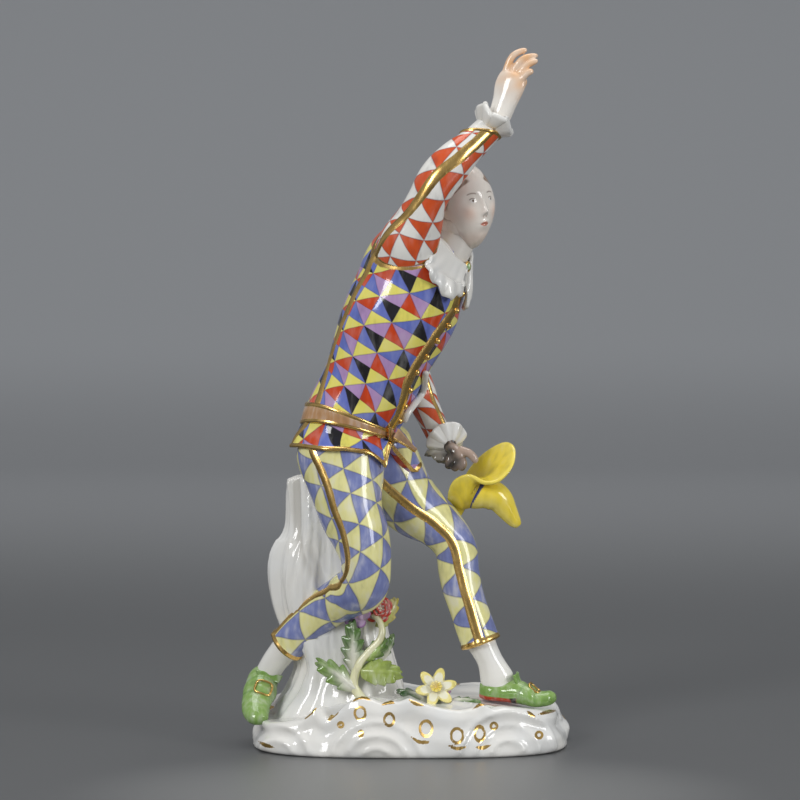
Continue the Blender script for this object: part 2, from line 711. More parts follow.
stump_path = [
    [-10, 3, -3, 11.5, 10],
    [-10, 3, 1.5, 8.8, 8],
    [-10.4, 3, 6, 7.4, 6.8],
    [-11.8, 3, 11, 8, 6.8],
    [-12.8, 3, 16, 8.6, 6.6],
    [-13, 3, 21, 8.2, 6.2],
    [-13.2, 3, 26, 6.2, 5.6],
    [-14.2, 3, 30.5, 5, 4.8],
    [-15.2, 3, 34.4, 4.2, 4],
]
share, angle = rows(220), turn(300)
ribs = 1 + 0.05 * np.sin(angle * 6 + share * 3) + 0.03 * np.sin(angle * 11 + 2 * np.sin(share * 5))
ribs = ribs + 0.016 * np.sin(angle * 23 + share * 9)
ribs = ribs - 0.03 * bump(np.sin(angle * 5 + share * 4 + 0.7), 1, 0.12)
bark = limb(stump_path, [1, 0, 0], angle, share, ribs * closing(share, 1, 0.95, 0.03))


# %% Fusing shells into one body
def fuse(name, parts, voxel, smoothing, material, paint, carve=None):
    """Joins closed shells by a voxel remesh (size in metres), relaxes it and paints it from its points."""
    for part in parts:
        pieces.remove(part)
    points = [np.empty(len(p.data.vertices) * 3, np.float32) for p in parts]
    faces, offset = [], 0
    for part, store_in in zip(parts, points):
        part.data.vertices.foreach_get("co", store_in)
        faces += [[v + offset for v in f.vertices] for f in part.data.polygons]
        offset += len(part.data.vertices)
        bpy.data.objects.remove(part)
    rough = bpy.data.meshes.new(name)
    rough.from_pydata(np.concatenate(points).reshape(-1, 3).tolist(), [], faces)
    joined = bpy.data.objects.new(name, rough)
    bpy.context.scene.collection.objects.link(joined)
    remesh = joined.modifiers.new("fuse", "REMESH")
    remesh.mode = "VOXEL"
    remesh.voxel_size = voxel
    relax = joined.modifiers.new("relax", "SMOOTH")
    relax.factor = 0.5
    relax.iterations = smoothing
    evaluated = joined.evaluated_get(bpy.context.evaluated_depsgraph_get())
    mesh = bpy.data.meshes.new_from_object(evaluated)
    mesh.name = name
    bpy.data.objects.remove(joined)
    mesh.shade_smooth()
    spots = np.empty(len(mesh.vertices) * 3, np.float32)
    mesh.vertices.foreach_get("co", spots)
    spots = (spots.reshape(-1, 3) - [0, 0, ground]) / unit
    if carve:
        normals = np.empty(len(mesh.vertices) * 3, np.float32)
        mesh.vertex_normals.foreach_get("vector", normals)
        spots = spots + carve(spots)[:, None] * normals.reshape(-1, 3)
        mesh.vertices.foreach_set("co", (spots * unit + [0, 0, ground]).astype(np.float32).ravel())
        mesh.update()
    return add_piece(name, mesh, material, paint(spots))


# %% [markdown]
# The gilt rings and commas on the base are painted as the front is seen. Each vertex keeps its distance
# from the nearest of them, taken on the upright plane through the figure as it is seen from the camera's
# place at rest.


# %% Gilt rings and strokes on the base
def seen(points):
    """Where points seem to lie on the plane y = 0: each ray from the eye's place is carried on to it."""
    p = points * unit + [0, 0, ground]
    stretch = -eye[1] / (p[..., 1] - eye[1])
    x = eye[0] + (p[..., 0] - eye[0]) * stretch
    z = eye[2] + (p[..., 2] - eye[2]) * stretch
    return x / unit, (z - ground) / unit


rings = [  # middle x and z, half width, half height
    (-7.7, -2.7, 0.84, 0.95),
    (-3.2, -3.7, 0.75, 0.95),
    (2.5, -5.1, 0.95, 1.2),
    (7.3, -6.2, 0.92, 1.12),
    (10.8, -5.9, 0.75, 1.12),
    (13.0, -4.7, 0.5, 0.5),
    (-7.6, -5.9, 0.3, 0.4),
    (-10.7, -4.5, 0.4, 0.4),
    (20.0, -6.1, 0.5, 0.5),
]
strokes = [  # three points of each comma
    ((-9.1, -0.9), (-7.4, -0.2), (-5.9, -0.7)),
    ((-4.3, -1.4), (-3.3, -1.0), (-2.3, -1.1)),
    ((-0.2, -0.5), (0.8, -1.2), (2.1, -1.5)),
    ((0.2, -6.4), (1.6, -7.2), (3.3, -7.2)),
    ((5.6, -7.6), (7.3, -8.2), (8.9, -7.9)),
    ((10.0, -7.9), (11.3, -8.1), (12.5, -7.6)),
    ((9.8, -2.1), (11.2, -1.2), (12.6, -1.6)),
    ((-12.8, -4.0), (-12.0, -3.2), (-11.1, -2.6)),
    ((-16.2, -3.5), (-15.2, -2.5), (-14.4, -1.7)),
    ((-23.4, -7.1), (-22.3, -7.7), (-21.0, -8.0)),
    ((18.2, -2.3), (18.7, -2.9), (19.3, -3.2)),
    ((19.9, -2.9), (21.3, -2.5), (22.5, -2.3)),
    ((-24.5, -4.1), (-23.5, -3.7), (-22.5, -3.5)),
]


def gilt_ornament(points):
    """The distance to the nearest ring or comma, less half its width. The back repeats the front."""
    x, z = seen(points)
    x = np.where(points[:, 1] < 0, x, -points[:, 0])
    z = np.where(points[:, 1] < 0, z, points[:, 2])
    value = np.full(len(x), no_gold)
    for cx, cz, wide, tall in rings:
        far = np.hypot((x - cx) / wide, (z - cz) / tall)
        value = np.minimum(value, np.abs(far - 1) * min(wide, tall) - 0.2)
    for stroke in strokes:
        line = spline(np.array(stroke), np.linspace(0, 1, 9))
        gaps = np.hypot(x[:, None] - line[:, 0], z[:, None] - line[:, 1])
        nearest = gaps.argmin(1)
        taper = 0.32 * np.sin(np.pi * (0.12 + 0.76 * nearest / 8))
        value = np.minimum(value, gaps.min(1) - taper)
    near_edge = np.hypot(points[:, 0], points[:, 1]) / outline(np.arctan2(points[:, 1], points[:, 0]))
    return np.where((points[:, 2] < 2.6) & (near_edge > 0.8) & (np.abs(points[:, 1]) > 3), value, no_gold)


def bark_height(points):
    """Carved bark: deep creases, a ledge and fine grooves that run up the stump; folds on the ground."""
    x, y, z = points.T
    a = np.arctan2(y - 3, x + 12)
    wander = 0.35 * np.sin(0.23 * z + 1.3) + 0.2 * np.sin(0.5 * z + 2 * a)
    crease = bump(np.sin(3 * a + 0.1 * z + wander), 1, 0.14) * smooth(0.55 + 0.6 * np.sin(0.21 * z + 2 * a))
    second = bump(np.sin(5 * a - 0.06 * z + 2 * wander), 1, 0.16)
    second = second * smooth(0.4 + 0.8 * np.sin(0.3 * z + 3 * a + 2))
    grooves = 0.05 * np.sin(37 * a + 2 * np.sin(0.3 * z + a)) + 0.04 * np.sin(59 * a + 1.5 * np.sin(0.4 * z))
    up_stump = smooth((z - 1.5) / 4) * smooth((36 - z) / 2)
    ledge = 0.3 * smooth((24.5 - z) / 0.8) * smooth((z - 15) / 8) * bump(turned_by(a, 3.0), 0, 0.6)
    far = np.hypot(x + 11, y - 3)
    folds = 0.45 * np.sin(8 * a + 0.5 * far) * bump(far, 12, 4.5) * smooth((1 - np.abs(z - 1)) / 2 + 0.5)
    folds = folds * (z > -2.5) * smooth((y + 14) / 6)
    return up_stump * (ledge + grooves - 0.5 * crease - 0.3 * second) + folds


def ground_paint(points):
    """The gilt ornament, and the hollows of the bark."""
    return {"gilding": gilt_ornament(points), "hollow": smooth(-2.2 * bark_height(points) - 0.1)}


base_parts = [shell("block", block, white_paint), shell("bark", bark, white_paint)]
clay_voxel, hand_voxel = 0.00062, 0.00026  # in metres
fuse("base_and_stump", base_parts, clay_voxel, 3, white_paint, ground_paint, bark_height)

# %% [markdown]
# ## The breeches
# Each leg is one skin from the hip to the hem. The painter ran one column of triangles down the front of
# the leg and stepped the rows from it. A short table gives that guide, and the lattice coordinates are arc
# lengths from it.

# %% Leg paths
right_leg_path = [
    [-10.6, -3, 43, 4.4, 4.4],
    [-10.6, -3.4, 38.5, 6.8, 6.2],
    [-9.9, -4.6, 33.9, 6, 5.8],
    [-9, -6, 29.3, 5, 5.2],
    [-7.6, -7, 25.6, 4.4, 4.8],
    [-6.8, -7.4, 21.6, 3.9, 4.3],
    [-7.3, -6.8, 18, 3.9, 4],
    [-9.6, -5, 16.2, 3.6, 3.7],
    [-12.2, -3, 14.4, 3.3, 3.4],
    [-15.6, -1, 11.4, 3.1, 3.2],
    [-19.2, 1, 7.6, 2.95, 3],
]
left_leg_path = [
    [-7, 1, 43, 4.4, 4.4],
    [-5.6, 2.2, 38, 6, 5.8],
    [-0.4, 3.2, 30.2, 5, 4.9],
    [4.3, 3.4, 26.2, 3.8, 4],
    [6.9, 3, 22.9, 3.3, 3.5],
    [7.6, 2.4, 19.2, 3.1, 3.3],
    [8.3, 2, 16, 3.1, 3.3],
    [9.5, 1.6, 12.2, 3, 3.1],
    [11.1, 1.2, 7.8, 2.95, 3],
]


# %% A patterned tube with a gilt seam
def cloth_tube(
    path, side, guide, row_runs, seam, seam_half, widths, step, slant=0.0, cuff=0.5, grid=(165, 130)
):
    """A cuffed tube. Lattice: i = (angle - guide) r / width, j = the row whose run is run - step i."""
    share = rows(grid[0])
    length = run_along(path, 1.0)
    radius = half_size(path, share)
    seam_angle = soft_table(seam, share, 0.03)
    t = turn(grid[1])
    angle = seam_angle + t - 0.6 * np.sin(t)  # columns crowd together near the seam
    run = run_along(path, share)
    far = np.abs(turned_by(angle, seam_angle)) * radius
    seam_width = table(seam_half, share)
    relief = 0.17 * ridge(far, seam_width) + 0.24 * ridge(length - run - cuff, cuff)
    relief = relief + 0.10 * np.sin(angle * 3 + run * 0.33) * bump(share, 0.45, 0.35)
    relief = relief + 0.06 * np.sin(angle * 2 - run * 0.6)
    points = limb(path, side, angle, share, closing(share, 1, 0.72, 0.006), relief)
    # a slanted cuff: the end rows slide along the tube, more on one side of it
    slide = slant * np.cos(angle) * smooth((share - 0.8) / 0.2)
    points = points + slide[..., None] * level(spline(np.array(path)[:, :3], share, slope=True))
    wide = seam_angle + np.append(t - 0.6 * np.sin(t), [[np.pi]], 1)
    away = turned_by(wide, soft_table(guide, run, 0.8))
    i = away * radius / np.where(away > 0, widths[0], widths[1])
    j = table([(r, n) for n, r in row_runs], run - step * i)
    gilt = np.minimum(far - seam_width, (length - run) - 2 * cuff)
    back_seam = (np.pi - np.abs(turned_by(angle, soft_table(guide, run, 0.8)))) * radius - 0.3
    return points, side_by_side(i, j), np.minimum(gilt, back_seam)


# %% The two legs of the breeches
points, lattice, gilt = cloth_tube(
    right_leg_path,
    [1, 0, 0],
    [(0, -1.6), (9, -1.59), (13, -1.5), (17.4, -1.51), (20.8, -1.68), (25, -2.2), (30, -2.75), (36, -2.85),
     (44, -2.85)],
    [(-3, -4), (-1, 4.6), (0, 8.8), (1, 12.9), (2, 17.4), (3, 20.8), (4, 25.2), (5, 31.0), (6, 37.1),
     (7, 43.2), (9, 52)],
    [(0, -2.35), (0.113, -2.26), (0.164, -2.17), (0.24, -2.09), (0.345, -2.16), (0.44, -2.2), (0.5, -2.3),
     (0.544, -2.45), (0.60, -2.74), (0.66, -2.96), (0.731, -3.08), (0.82, -3.12), (0.9, -3.12), (1, -3.08)],
    [(0, 0.66), (0.4, 0.6), (0.7, 0.55), (1, 0.5)],
    (4.2, 4.2),
    2.2,
)
shell("breeches_right", points, right_breeches_paint, lattice, gilding=gilt)
points, lattice, gilt = cloth_tube(
    left_leg_path,
    [1, 0, 0],
    [(0, -1.0), (11.5, -1.13), (17.8, -1.36), (24.5, -1.54), (28.6, -1.39), (33.9, -1.25), (42, -1.25)],
    [(-3, -7), (-1, 5.5), (0, 11.5), (1, 17.8), (2, 24.4), (3, 28.8), (4, 33.9), (5, 38.7), (7, 48)],
    [(0, -1.9), (0.186, -1.75), (0.221, -1.6), (0.305, -1.48), (0.4, -1.59), (0.54, -1.65), (0.672, -1.53),
     (0.818, -1.5), (0.921, -1.58), (1, -1.64)],
    [(0, 0.62), (0.3, 0.7), (0.6, 0.76), (1, 0.8)],
    (4.2, 5.4),
    2.3,
)
shell("breeches_left", points, left_breeches_paint, lattice, gilding=gilt)


# %% [markdown]
# ## Stockings and shoes
# White stockings run down into green shoes with a red sole edge, a strap and a small gilt buckle.


# %% Stockings
def plain_tube(path, side, grid, start=1.0, end=1.0, over_share=0.15):
    """A limb from end to end, closed as a quarter circle at each end."""
    share, angle = rows(grid[0]), turn(grid[1])
    return limb(path, side, angle, share, closing(share, start, end, over_share))


right_stocking = [[-18.2, 0.5, 8.6, 2.3, 2.3], [-20.8, 2, 5.3, 2, 2.1], [-22.4, 3.2, 2.6, 1.9, 2.2]]
left_stocking = [[10.8, 1.2, 8.6, 2.3, 2.3], [12.3, 0.9, 5.6, 2, 2.1], [13.5, 0.4, 2.6, 2.6, 2.0],
                 [14.0, 0.1, 1.2, 2.2, 1.6]]
for name, path in (("stocking_right", right_stocking), ("stocking_left", left_stocking)):
    shell(name, plain_tube(path, [1, 0, 0], (40, 60)), white_paint, hollow=0.0)

# %% Shoes
right_shoe = [
    [-22.6, 4.6, 3.0, 1.9, 2.0],
    [-22.9, 2.6, 2.0, 2.4, 2.2],
    [-23.2, 0.4, 0.6, 2.5, 1.9],
    [-23.7, -2.0, -1.0, 2.25, 1.6],
    [-23.5, -4.2, -2.2, 2.0, 1.4],
    [-22.5, -5.9, -3.0, 1.4, 1.1],
]
left_shoe = [
    [10.8, 0.5, 0.85, 1.4, 1.45],
    [12.4, 0.4, 0.75, 2, 1.55],
    [14.7, 0.1, 0.65, 2.2, 1.6],
    [16.6, -0.6, 0.7, 2.2, 1.85],
    [18.0, -1.1, 0.25, 2.15, 1.6],
    [19.2, -1.4, -0.25, 2.0, 1.3],
    [20.6, -1.65, -0.2, 1.8, 1.2],
    [21.7, -1.8, 0, 1.4, 1.1],
    [22.5, -2, 0.15, 0.9, 0.75],
]


def shoe(name, path, side, ends, sole_from, strap_at, sole_to):
    """A green shoe: its sole has a thin red edge, black under the arch, and its strap is raised."""
    share, angle = rows(110), turn(90)
    down = np.sin(angle)
    strap = ridge(share - strap_at, 0.10) * smooth((0.5 - down) / 0.3)
    welt = bump(down, sole_from, 0.05) * smooth((sole_to - share) / 0.05)
    points = limb(path, side, angle, share, closing(share, *ends, 0.16), 0.14 * strap + 0.08 * welt)
    colour = tint(shoe_green, points.shape[:2])
    colour = over(colour, (0.30, 0.44, 0.14), 0.4 * smooth(-down + 0.2))
    strap_edge = bump(np.abs(share - strap_at), 0.105, 0.014) * (down < 0.5)
    colour = over(colour, (0.08, 0.20, 0.03), 0.5 * strap_edge)
    sole = smooth((down - sole_from) / 0.05) * smooth((sole_to - share) / 0.03)
    colour = over(colour, iron_red, sole)
    colour = over(colour, black, sole * smooth((share - sole_to + 0.12) / 0.03))
    return shell(name, points, tinted_paint, tint=colour)


def buckle(name, middle, out, along, wide, long):
    """A small gilt frame: a rounded square ring, |x/wide|^4 + |y/long|^4 = 1, of thin round section."""
    axes = square_axes(out, along)
    t = turn(72)[0]
    corner = (np.abs(np.cos(t)) ** 4 + np.abs(np.sin(t)) ** 4) ** -0.25
    x, y = np.cos(t) * corner, np.sin(t) * corner
    line = from_axes(middle, axes, -0.25 * x**2, long * y, wide * x)
    return cord_ring(name, line, 0.17, tinted_paint, tint=np.array(gold), gilding=-1.0)


shoe("shoe_right", right_shoe, [1, 0, 0], (0.5, 0.4), 0.90, 0.42, 0.86)
shoe("shoe_left", left_shoe, [0, 1, 0], (0.7, 0.45), 0.42, 0.55, 0.44)
for name, path, side, middle, toward, wide, long, flat in (
    ("right", right_shoe, [1, 0, 0], 0.47, -1.25, 1.3, 1.15, [0.2, -0.75, 0.6]),
    ("left", left_shoe, [0, 1, 0], 0.56, -1.62, 1.05, 1.0, [0.62, -0.16, 0.76]),
):
    place = limb(path, side, np.array(toward), np.array(middle), 1.0, 0.3)
    ahead = level(spline(np.array(path)[:, :3], np.array(middle), slope=True))
    buckle(f"buckle_{name}", place, flat, ahead, wide, long)
tongue_rise = np.linspace(0, 1, 30)[:, None]
tongue_across = np.linspace(-1, 1, 25)[None, :]
for name, root, rise, across, out in (
    ("right", [-21.9, 0.9, 2.2], [0.1, 0.6, 1.1], [2.0, 0.25, -0.5], [0, -1, 0.4]),
    ("left", [16.8, -0.7, 1.9], [-0.9, 0.1, 1.6], [0.3, 1.5, 0.1], [1, 0, 0.3]),
):
    lift = np.array(root) + tongue_rise[..., None] * np.array(rise)
    spread = (tongue_across * (0.8 + 0.25 * tongue_rise))[..., None] * np.array(across)
    curl_out = (0.35 * tongue_rise**2 + 0.35 * (1 - tongue_across**2))[..., None] * level(out)
    thick = 0.45 * rounded((1 - np.abs(tongue_across)) * 1.6, 0.2) * rounded((1 - tongue_rise) * 1.6, 0.2)
    tongue_colour = tint(shoe_green, (30, 25))
    sheet(f"tongue_{name}", lift + spread + curl_out, thick, tinted_paint, False, tint=tongue_colour)


# %% [markdown]
# ## The jacket
# The trunk and the skirt are one cloth. The skin flares out below the belt, and the hem falls into a point
# on each side of the front opening. A gilt braid follows the buttoned edge, a second one the side seam.

# %% Trunk
body_left = [np.cos(np.radians(60)), np.sin(np.radians(60)), 0]
front_angle = np.radians(78)
trunk_path = [
    [-9.3, -0.7, 36.4, 8.1, 6.6],
    [-9.1, -1, 42, 7.8, 6.4],
    [-5.5, -1, 48.9, 8.4, 7.2],
    [-2.3, -1, 56.6, 9.2, 8.4],
    [0, -1, 62.8, 9.1, 7.9],
    [1.6, -1, 67.4, 8.8, 6.8],
    [5, -1.2, 70.6, 4.2, 3.8],
]
raised_path = [
    [-1.6, -4.6, 65.8, 4.8, 4.4],
    [-0.2, -7, 69.8, 4.6, 4.4],
    [1.4, -8.4, 73.3, 3.6, 3.7],
    [2.6, -9.2, 76.2, 3.1, 3.3],
    [4.3, -9.5, 79.4, 3.15, 3.3],
    [6.6, -9.1, 82.2, 2.95, 3.1],
    [8.7, -8.2, 84.3, 2.6, 2.7],
    [10.9, -7.2, 86.5, 2.3, 2.3],
]
lowered_path = [
    [2.4, 4, 65, 3.8, 3.8],
    [1.6, 7.6, 58.7, 3.3, 3.3],
    [0.3, 7.6, 51.8, 2.7, 2.8],
    [1.8, 6.4, 46, 2.4, 2.4],
    [3.4, 5.2, 42.4, 2.1, 2.1],
    [4.7, 4.4, 39.6, 1.8, 1.8],
]
raised_side, lowered_side = [1, 0, -0.5], [1, 0, 0]
braid = [(0, 1.6), (0.085, 1.65), (0.152, 1.62), (0.234, 1.55), (0.278, 1.53), (0.33, 1.65), (0.371, 1.75),
         (0.425, 1.75), (0.47, 1.71), (0.541, 1.63), (0.595, 1.51), (0.656, 1.35), (0.739, 1.29), (1, 1.23)]
side_seam = [(0, 4.0), (0.104, 3.95), (0.151, 3.6), (0.196, 3.5), (0.25, 3.7), (0.31, 3.86), (0.408, 3.79),
             (0.486, 3.69), (0.55, 3.67), (0.611, 3.65), (0.771, 3.52), (0.9, 3.5), (1, 3.5)]
column_guide = [(0, 3.1), (8, 3.09), (15, 3.19), (20, 3.18), (26, 3.07), (31, 2.9), (38, 2.75)]
hem_fall = [(0.9, 3.4), (1.0, 3.9), (1.1, 4.2), (1.17, 4.75), (1.2, 4.6), (1.3, 3.35), (1.4, 2.15),
            (1.5, 1.1), (1.6, 0.05), (1.70, -0.4), (1.8, 2.0), (1.835, 3.1), (1.9, 2.5), (2.0, 1.8),
            (2.1, 1.1), (2.2, 0.6), (2.6, -0.1), (3.0, -0.3), (3.6, -0.5), (4.5, 0.3), (5.5, 0.4),
            (6.3, 0.4), (6.6, 0.8), (6.9, 1.9), (7.18, 3.4)]
jacket_profile = [(0.085, 1.55), (0.1, 1.35), (0.12, 0.95), (0.14, 0.5), (0.16, 0.3), (0.2, 0.25),
                  (0.25, 0.12), (0.31, 0), (1, 0)]


def trunk(angle, share, proud=0.0):
    """A point on the trunk's skin, or proud of it; the waist is drawn in on its far side."""
    hollow = 1.5 * bump(turned_by(angle, 1.3), 0, 0.75) * bump(share, 0.435, 0.135)
    hollow = hollow + 0.9 * bump(turned_by(angle, 1.0), 0, 0.4) * bump(share, 0.145, 0.045)
    return limb(trunk_path, body_left, angle, share, 1.0, proud - hollow)


# %% Jacket
inner_rows = np.array([(0.125, -1.6), (0.105, 0.2), (0.09, 0.9), (0.084, 1.2)])
outer_shares = np.concatenate([np.linspace(0.083, 0.15, 46), np.linspace(0.153, 1, 124)])
share = np.concatenate([inner_rows[:, 0], outer_shares])[:, None]
edge = np.concatenate([inner_rows[:, 1], np.full(len(outer_shares), 9)])[:, None]
columns = 260
start = table(braid, share) - 0.03
angle = start + turn(columns, 0)
swing = 1 + 0.9 * bump(turned_by(angle, front_angle), -0.4, 0.5) * (share < 0.13)
proud = table(jacket_profile, share) * swing
proud = proud + 1.2 * bump(turned_by(angle, 1.0), 0, 0.3) * smooth((0.13 - share) / 0.05)
proud = np.where(edge < 9, np.minimum(edge, proud), proud)
hem_angle = np.where(angle > 7.18, angle - 2 * np.pi, angle)
fall = table(hem_fall, hem_angle) * smooth((0.152 - share) / 0.066)
lap = 0.32 * smooth((angle - start) / 0.05) * smooth((start + 2 * np.pi - angle) / 0.6)
ripple = 0.14 * np.sin(3 * angle + 9 * share) * bump(share, 0.5, 0.3)
ripple = ripple + 0.18 * np.sin(7 * angle) * bump(share, 0.09, 0.05)
run = run_along(trunk_path, share)
radius = half_size(trunk_path, share)
cloth = proud + lap + ripple
drop = fall[..., None] * [0, 0, 1]
plain = trunk(angle, share, cloth) - drop
hem_row = len(inner_rows)
near_rows = hem_row + 50  # only these lie close to the hem
near_hem = plain[:near_rows]
to_hem = np.full(angle.shape, no_gold)
to_hem[:near_rows] = np.linalg.norm(near_hem[:, :, None] - plain[hem_row][None, None], axis=-1).min(-1)
to_braid = np.abs(turned_by(angle, start + 0.17)) * radius + 9 * smooth((0.16 - share) / 0.015)
to_side = np.abs(turned_by(angle, soft_table(side_seam, share, 0.02))) * radius
beads = 0.26 * ridge(to_braid, 1.25) + 0.2 * ridge(to_side, 0.8)
beads = beads + 0.26 * ridge(to_hem - 0.35, 0.4) * (edge >= 9)
jacket_points = trunk(angle, share, cloth + beads) - drop
gilt = np.minimum(np.minimum(to_braid - 1.2, to_side - 0.72), to_hem - 0.68)
for path, side in ((raised_path, raised_side), (lowered_path, lowered_side)):
    gilt = np.minimum(gilt, np.abs(height_over(jacket_points, path, side) - 0.15) - 0.15)
wide_angle = start + np.append(turn(columns, 0), [[2 * np.pi]], 1)
column = (soft_table(column_guide, run, 1.5) - wide_angle) / 0.42
row = (26 - 0.55 * column - run) / 2.55
lattice = np.stack([(column - row) / 2, (column + row) / 2], -1)
shell("jacket", jacket_points, jacket_paint, lattice, gilding=gilt)

# %% [markdown]
# The belt is a flat strap of its own, tan with gilt edges, that rises a little towards the keeper at the
# front.

# %% Belt, buttons and frill
belt_middle = [(1.57, 0.192), (1.9, 0.20), (2.3, 0.196), (2.77, 0.1885), (3.28, 0.18), (3.98, 0.164),
               (5, 0.164), (6.5, 0.172), (7.2, 0.178), (7.85, 0.192)]
belt_angle = turn(300, 1.57)
up = np.linspace(-1, 1, 19)[:, None]
belt_share = soft_table(belt_middle, belt_angle, 0.08) + 0.021 * up
rim = 0.13 * ridge(np.abs(up) - 0.84, 0.18)
belt_points = trunk(belt_angle, belt_share, 0.62 + rim + 0.15 * bump(belt_angle, 1.75, 0.3))
colour = over(tint(leather, belt_points.shape[:2]), (0.56, 0.38, 0.24), 0.35 * smooth(up + 0.2))
thick = 0.5 * rounded(1.12 - np.abs(up), 0.3)
sheet("belt", belt_points, thick, tinted_paint, tint=colour, gilding=0.68 - np.abs(up))
keeper_angle = np.linspace(0, 1, 30)[None, :]
keeper_up = np.linspace(-1, 1, 40)[:, None]
keeper_share = mix(0.199, 0.158, keeper_angle) + 0.044 * keeper_up
keeper_angle = mix(1.79 + 0.14 * keeper_up, 1.30 + 0.16 * keeper_up, keeper_angle)
keeper_side = np.abs(np.linspace(-1, 1, 30))[None, :]
keeper_rim = 0.14 * ridge(np.abs(keeper_up) - 0.86, 0.16)
keeper_rim = np.maximum(keeper_rim, 0.14 * ridge(keeper_side - 0.82, 0.2))
keeper_out = 1.2 - 0.15 * keeper_up**2 + keeper_rim + 0.9 * smooth((0.16 - keeper_share) / 0.05)
keeper_points = trunk(keeper_angle, keeper_share, keeper_out)
keeper_gilt = np.minimum(0.72 - keeper_side, 0.84 + np.minimum(keeper_up, 0.0)) * 1.2
colour = tint(mix(np.array(leather), np.array((0.62, 0.42, 0.26)), 0.3), keeper_points.shape[:2])
thick = 0.7 * rounded((1 - keeper_side) * 0.8, 0.2) * rounded((1 - np.abs(keeper_up)) * 1.7, 0.2)
sheet("belt_keeper", keeper_points, thick, tinted_paint, round_about=False, tint=colour, gilding=keeper_gilt)
# the belt's free end comes out of the keeper, lies over the right flap and narrows
tail_share = np.linspace(0, 1, 60)[:, None]
tail_across = np.linspace(-1, 1, 21)[None, :]
tail_path = np.array([[-2.2, -6.3, 41.0], [-1.3, -5.6, 40.2], [-0.1, -4.6, 39.2], [0.9, -3.2, 38.3]])
tail_line = spline(tail_path, tail_share)
tail_wide = mix(0.95, 0.36, smooth(tail_share * 1.1)) * tail_across
tail_points = tail_line + tail_wide[..., None] * level([0.5, -0.3, 0.8])
tail_rim = 0.12 * ridge(tail_across + 0.84, 0.16)
tail_points = tail_points + tail_rim[..., None] * level([0.6, -0.8, 0])
colour = tint((0.50, 0.31, 0.18), tail_points.shape[:2])
tail_gilt = np.minimum(0.66 + tail_across, 0.95 - tail_share) * mix(1, 0.4, tail_share)
thick = 0.6 * rounded((1 - np.abs(tail_across)) * 0.85, 0.2)
thick = thick * rounded(np.minimum(tail_share, 1 - tail_share) * 4, 0.2)
sheet("belt_tail", tail_points, thick, tinted_paint, round_about=False, tint=colour, gilding=tail_gilt)


def ball(around, down):
    """Directions over a whole ball, rows from its top to its foot: (sin t cos a, sin t sin a, cos t)."""
    t = np.linspace(0.02, np.pi - 0.02, down)[:, None]
    a = turn(around)
    return side_by_side(np.sin(t) * np.cos(a), np.sin(t) * np.sin(a), np.cos(t))


def bead_at(name, middle, radius, colour, gilding=no_gold):
    """A small ball at a place."""
    points = np.asarray(middle) + ball(20, 14) * radius
    return shell(name, points, tinted_paint, tint=tint(colour, points.shape[:2]), gilding=gilding)


buttons = [(1.453, 0.714), (1.523, 0.651), (1.623, 0.583), (1.741, 0.52), (1.793, 0.46), (1.846, 0.408),
           (1.776, 0.354), (1.70, 0.31), (1.588, 0.267)]
for n, (a, s) in enumerate(buttons):
    bead_at(f"button_{n + 1}", trunk(np.array(a - 0.05), np.array(s), 0.5), 0.48, gold, -1.0)
frill_line = [(1.50, 0.418), (1.30, 0.395), (1.02, 0.372), (0.97, 0.349), (1.30, 0.325), (1.48, 0.294),
              (1.42, 0.27)]
frill_path = [[*trunk(np.array(a), np.array(s), 0.8), 0.40, 0.52] for a, s in frill_line]
shell("frill", plain_tube(frill_path, [0, 1, 0], (120, 24), 0.5, 0.5, 0.05), white_paint, hollow=0.0)


# %% [markdown]
# ## The sleeves
# The sleeves use the same tube as the breeches, with red and white triangles and a gilt seam.

# %% Sleeves
points, lattice, gilt = cloth_tube(
    raised_path,
    raised_side,
    [(0, 1.9), (4, 1.95), (7, 2.05), (9.6, 2.12), (12.7, 2.08), (16.7, 1.93), (20.5, 1.94), (26, 1.9)],
    [(0, 0), (1, 1)],
    [(0, 2.6), (0.164, 2.54), (0.215, 2.47), (0.307, 2.3), (0.414, 2.06), (0.499, 1.9), (0.6, 1.74),
     (0.72, 1.42), (0.873, 1.28), (1, 1.25)],
    [(0, 0.55), (0.3, 0.8), (0.6, 0.92), (1, 0.92)],
    (3.6, 4.0),
    0.0,
    slant=2.0,
    cuff=0.38,
    grid=(150, 110),
)
# This lattice counts its columns the other way about the arm, and its rows drop from column to column.
run = run_along(raised_path, rows(150))
i = -lattice[..., 0]
sleeve_rows = [(-7, 9), (1, 7), (4.0, 6), (7.0, 5), (9.6, 4), (12.7, 3), (16.66, 2), (20.45, 1), (24.4, 0),
               (32, -2)]
drop = np.where(i < 0, 2.4, table([(12, 0.6), (17.5, 1.76), (22.5, 2.4)], run))
j = table(sleeve_rows, run - drop * i)
gilt = np.minimum(gilt, np.abs(height_over(points, trunk_path, body_left) - 0.25) - 0.14)
shell("sleeve_raised", points, sleeve_paint, np.stack([i, j], -1), gilding=gilt)
points, lattice, gilt = cloth_tube(
    lowered_path,
    lowered_side,
    [(0, -1.0), (17, -0.85), (28, -0.85)],
    [(-9, -12), (0, 20.5), (1, 24), (3, 31)],
    [(0, -0.9), (0.485, -0.85), (0.6, -0.8), (0.7, -0.89), (0.9, -0.8), (1, -0.8)],
    [(0, 0.45), (1, 0.45)],
    (3.2, 3.2),
    1.7,
    cuff=0.3,
    grid=(120, 80),
)
gilt = np.minimum(gilt, np.abs(height_over(points, trunk_path, body_left) - 0.25) - 0.14)
shell("sleeve_lowered", points, sleeve_paint, lattice, gilding=gilt)

# %% [markdown]
# ## Ruffles
# A ruffle is a fluted ring of thin clay at the wrist. The middle surface is a shallow cone with waves that
# grow towards the rim, and the plate's edge is rounded.


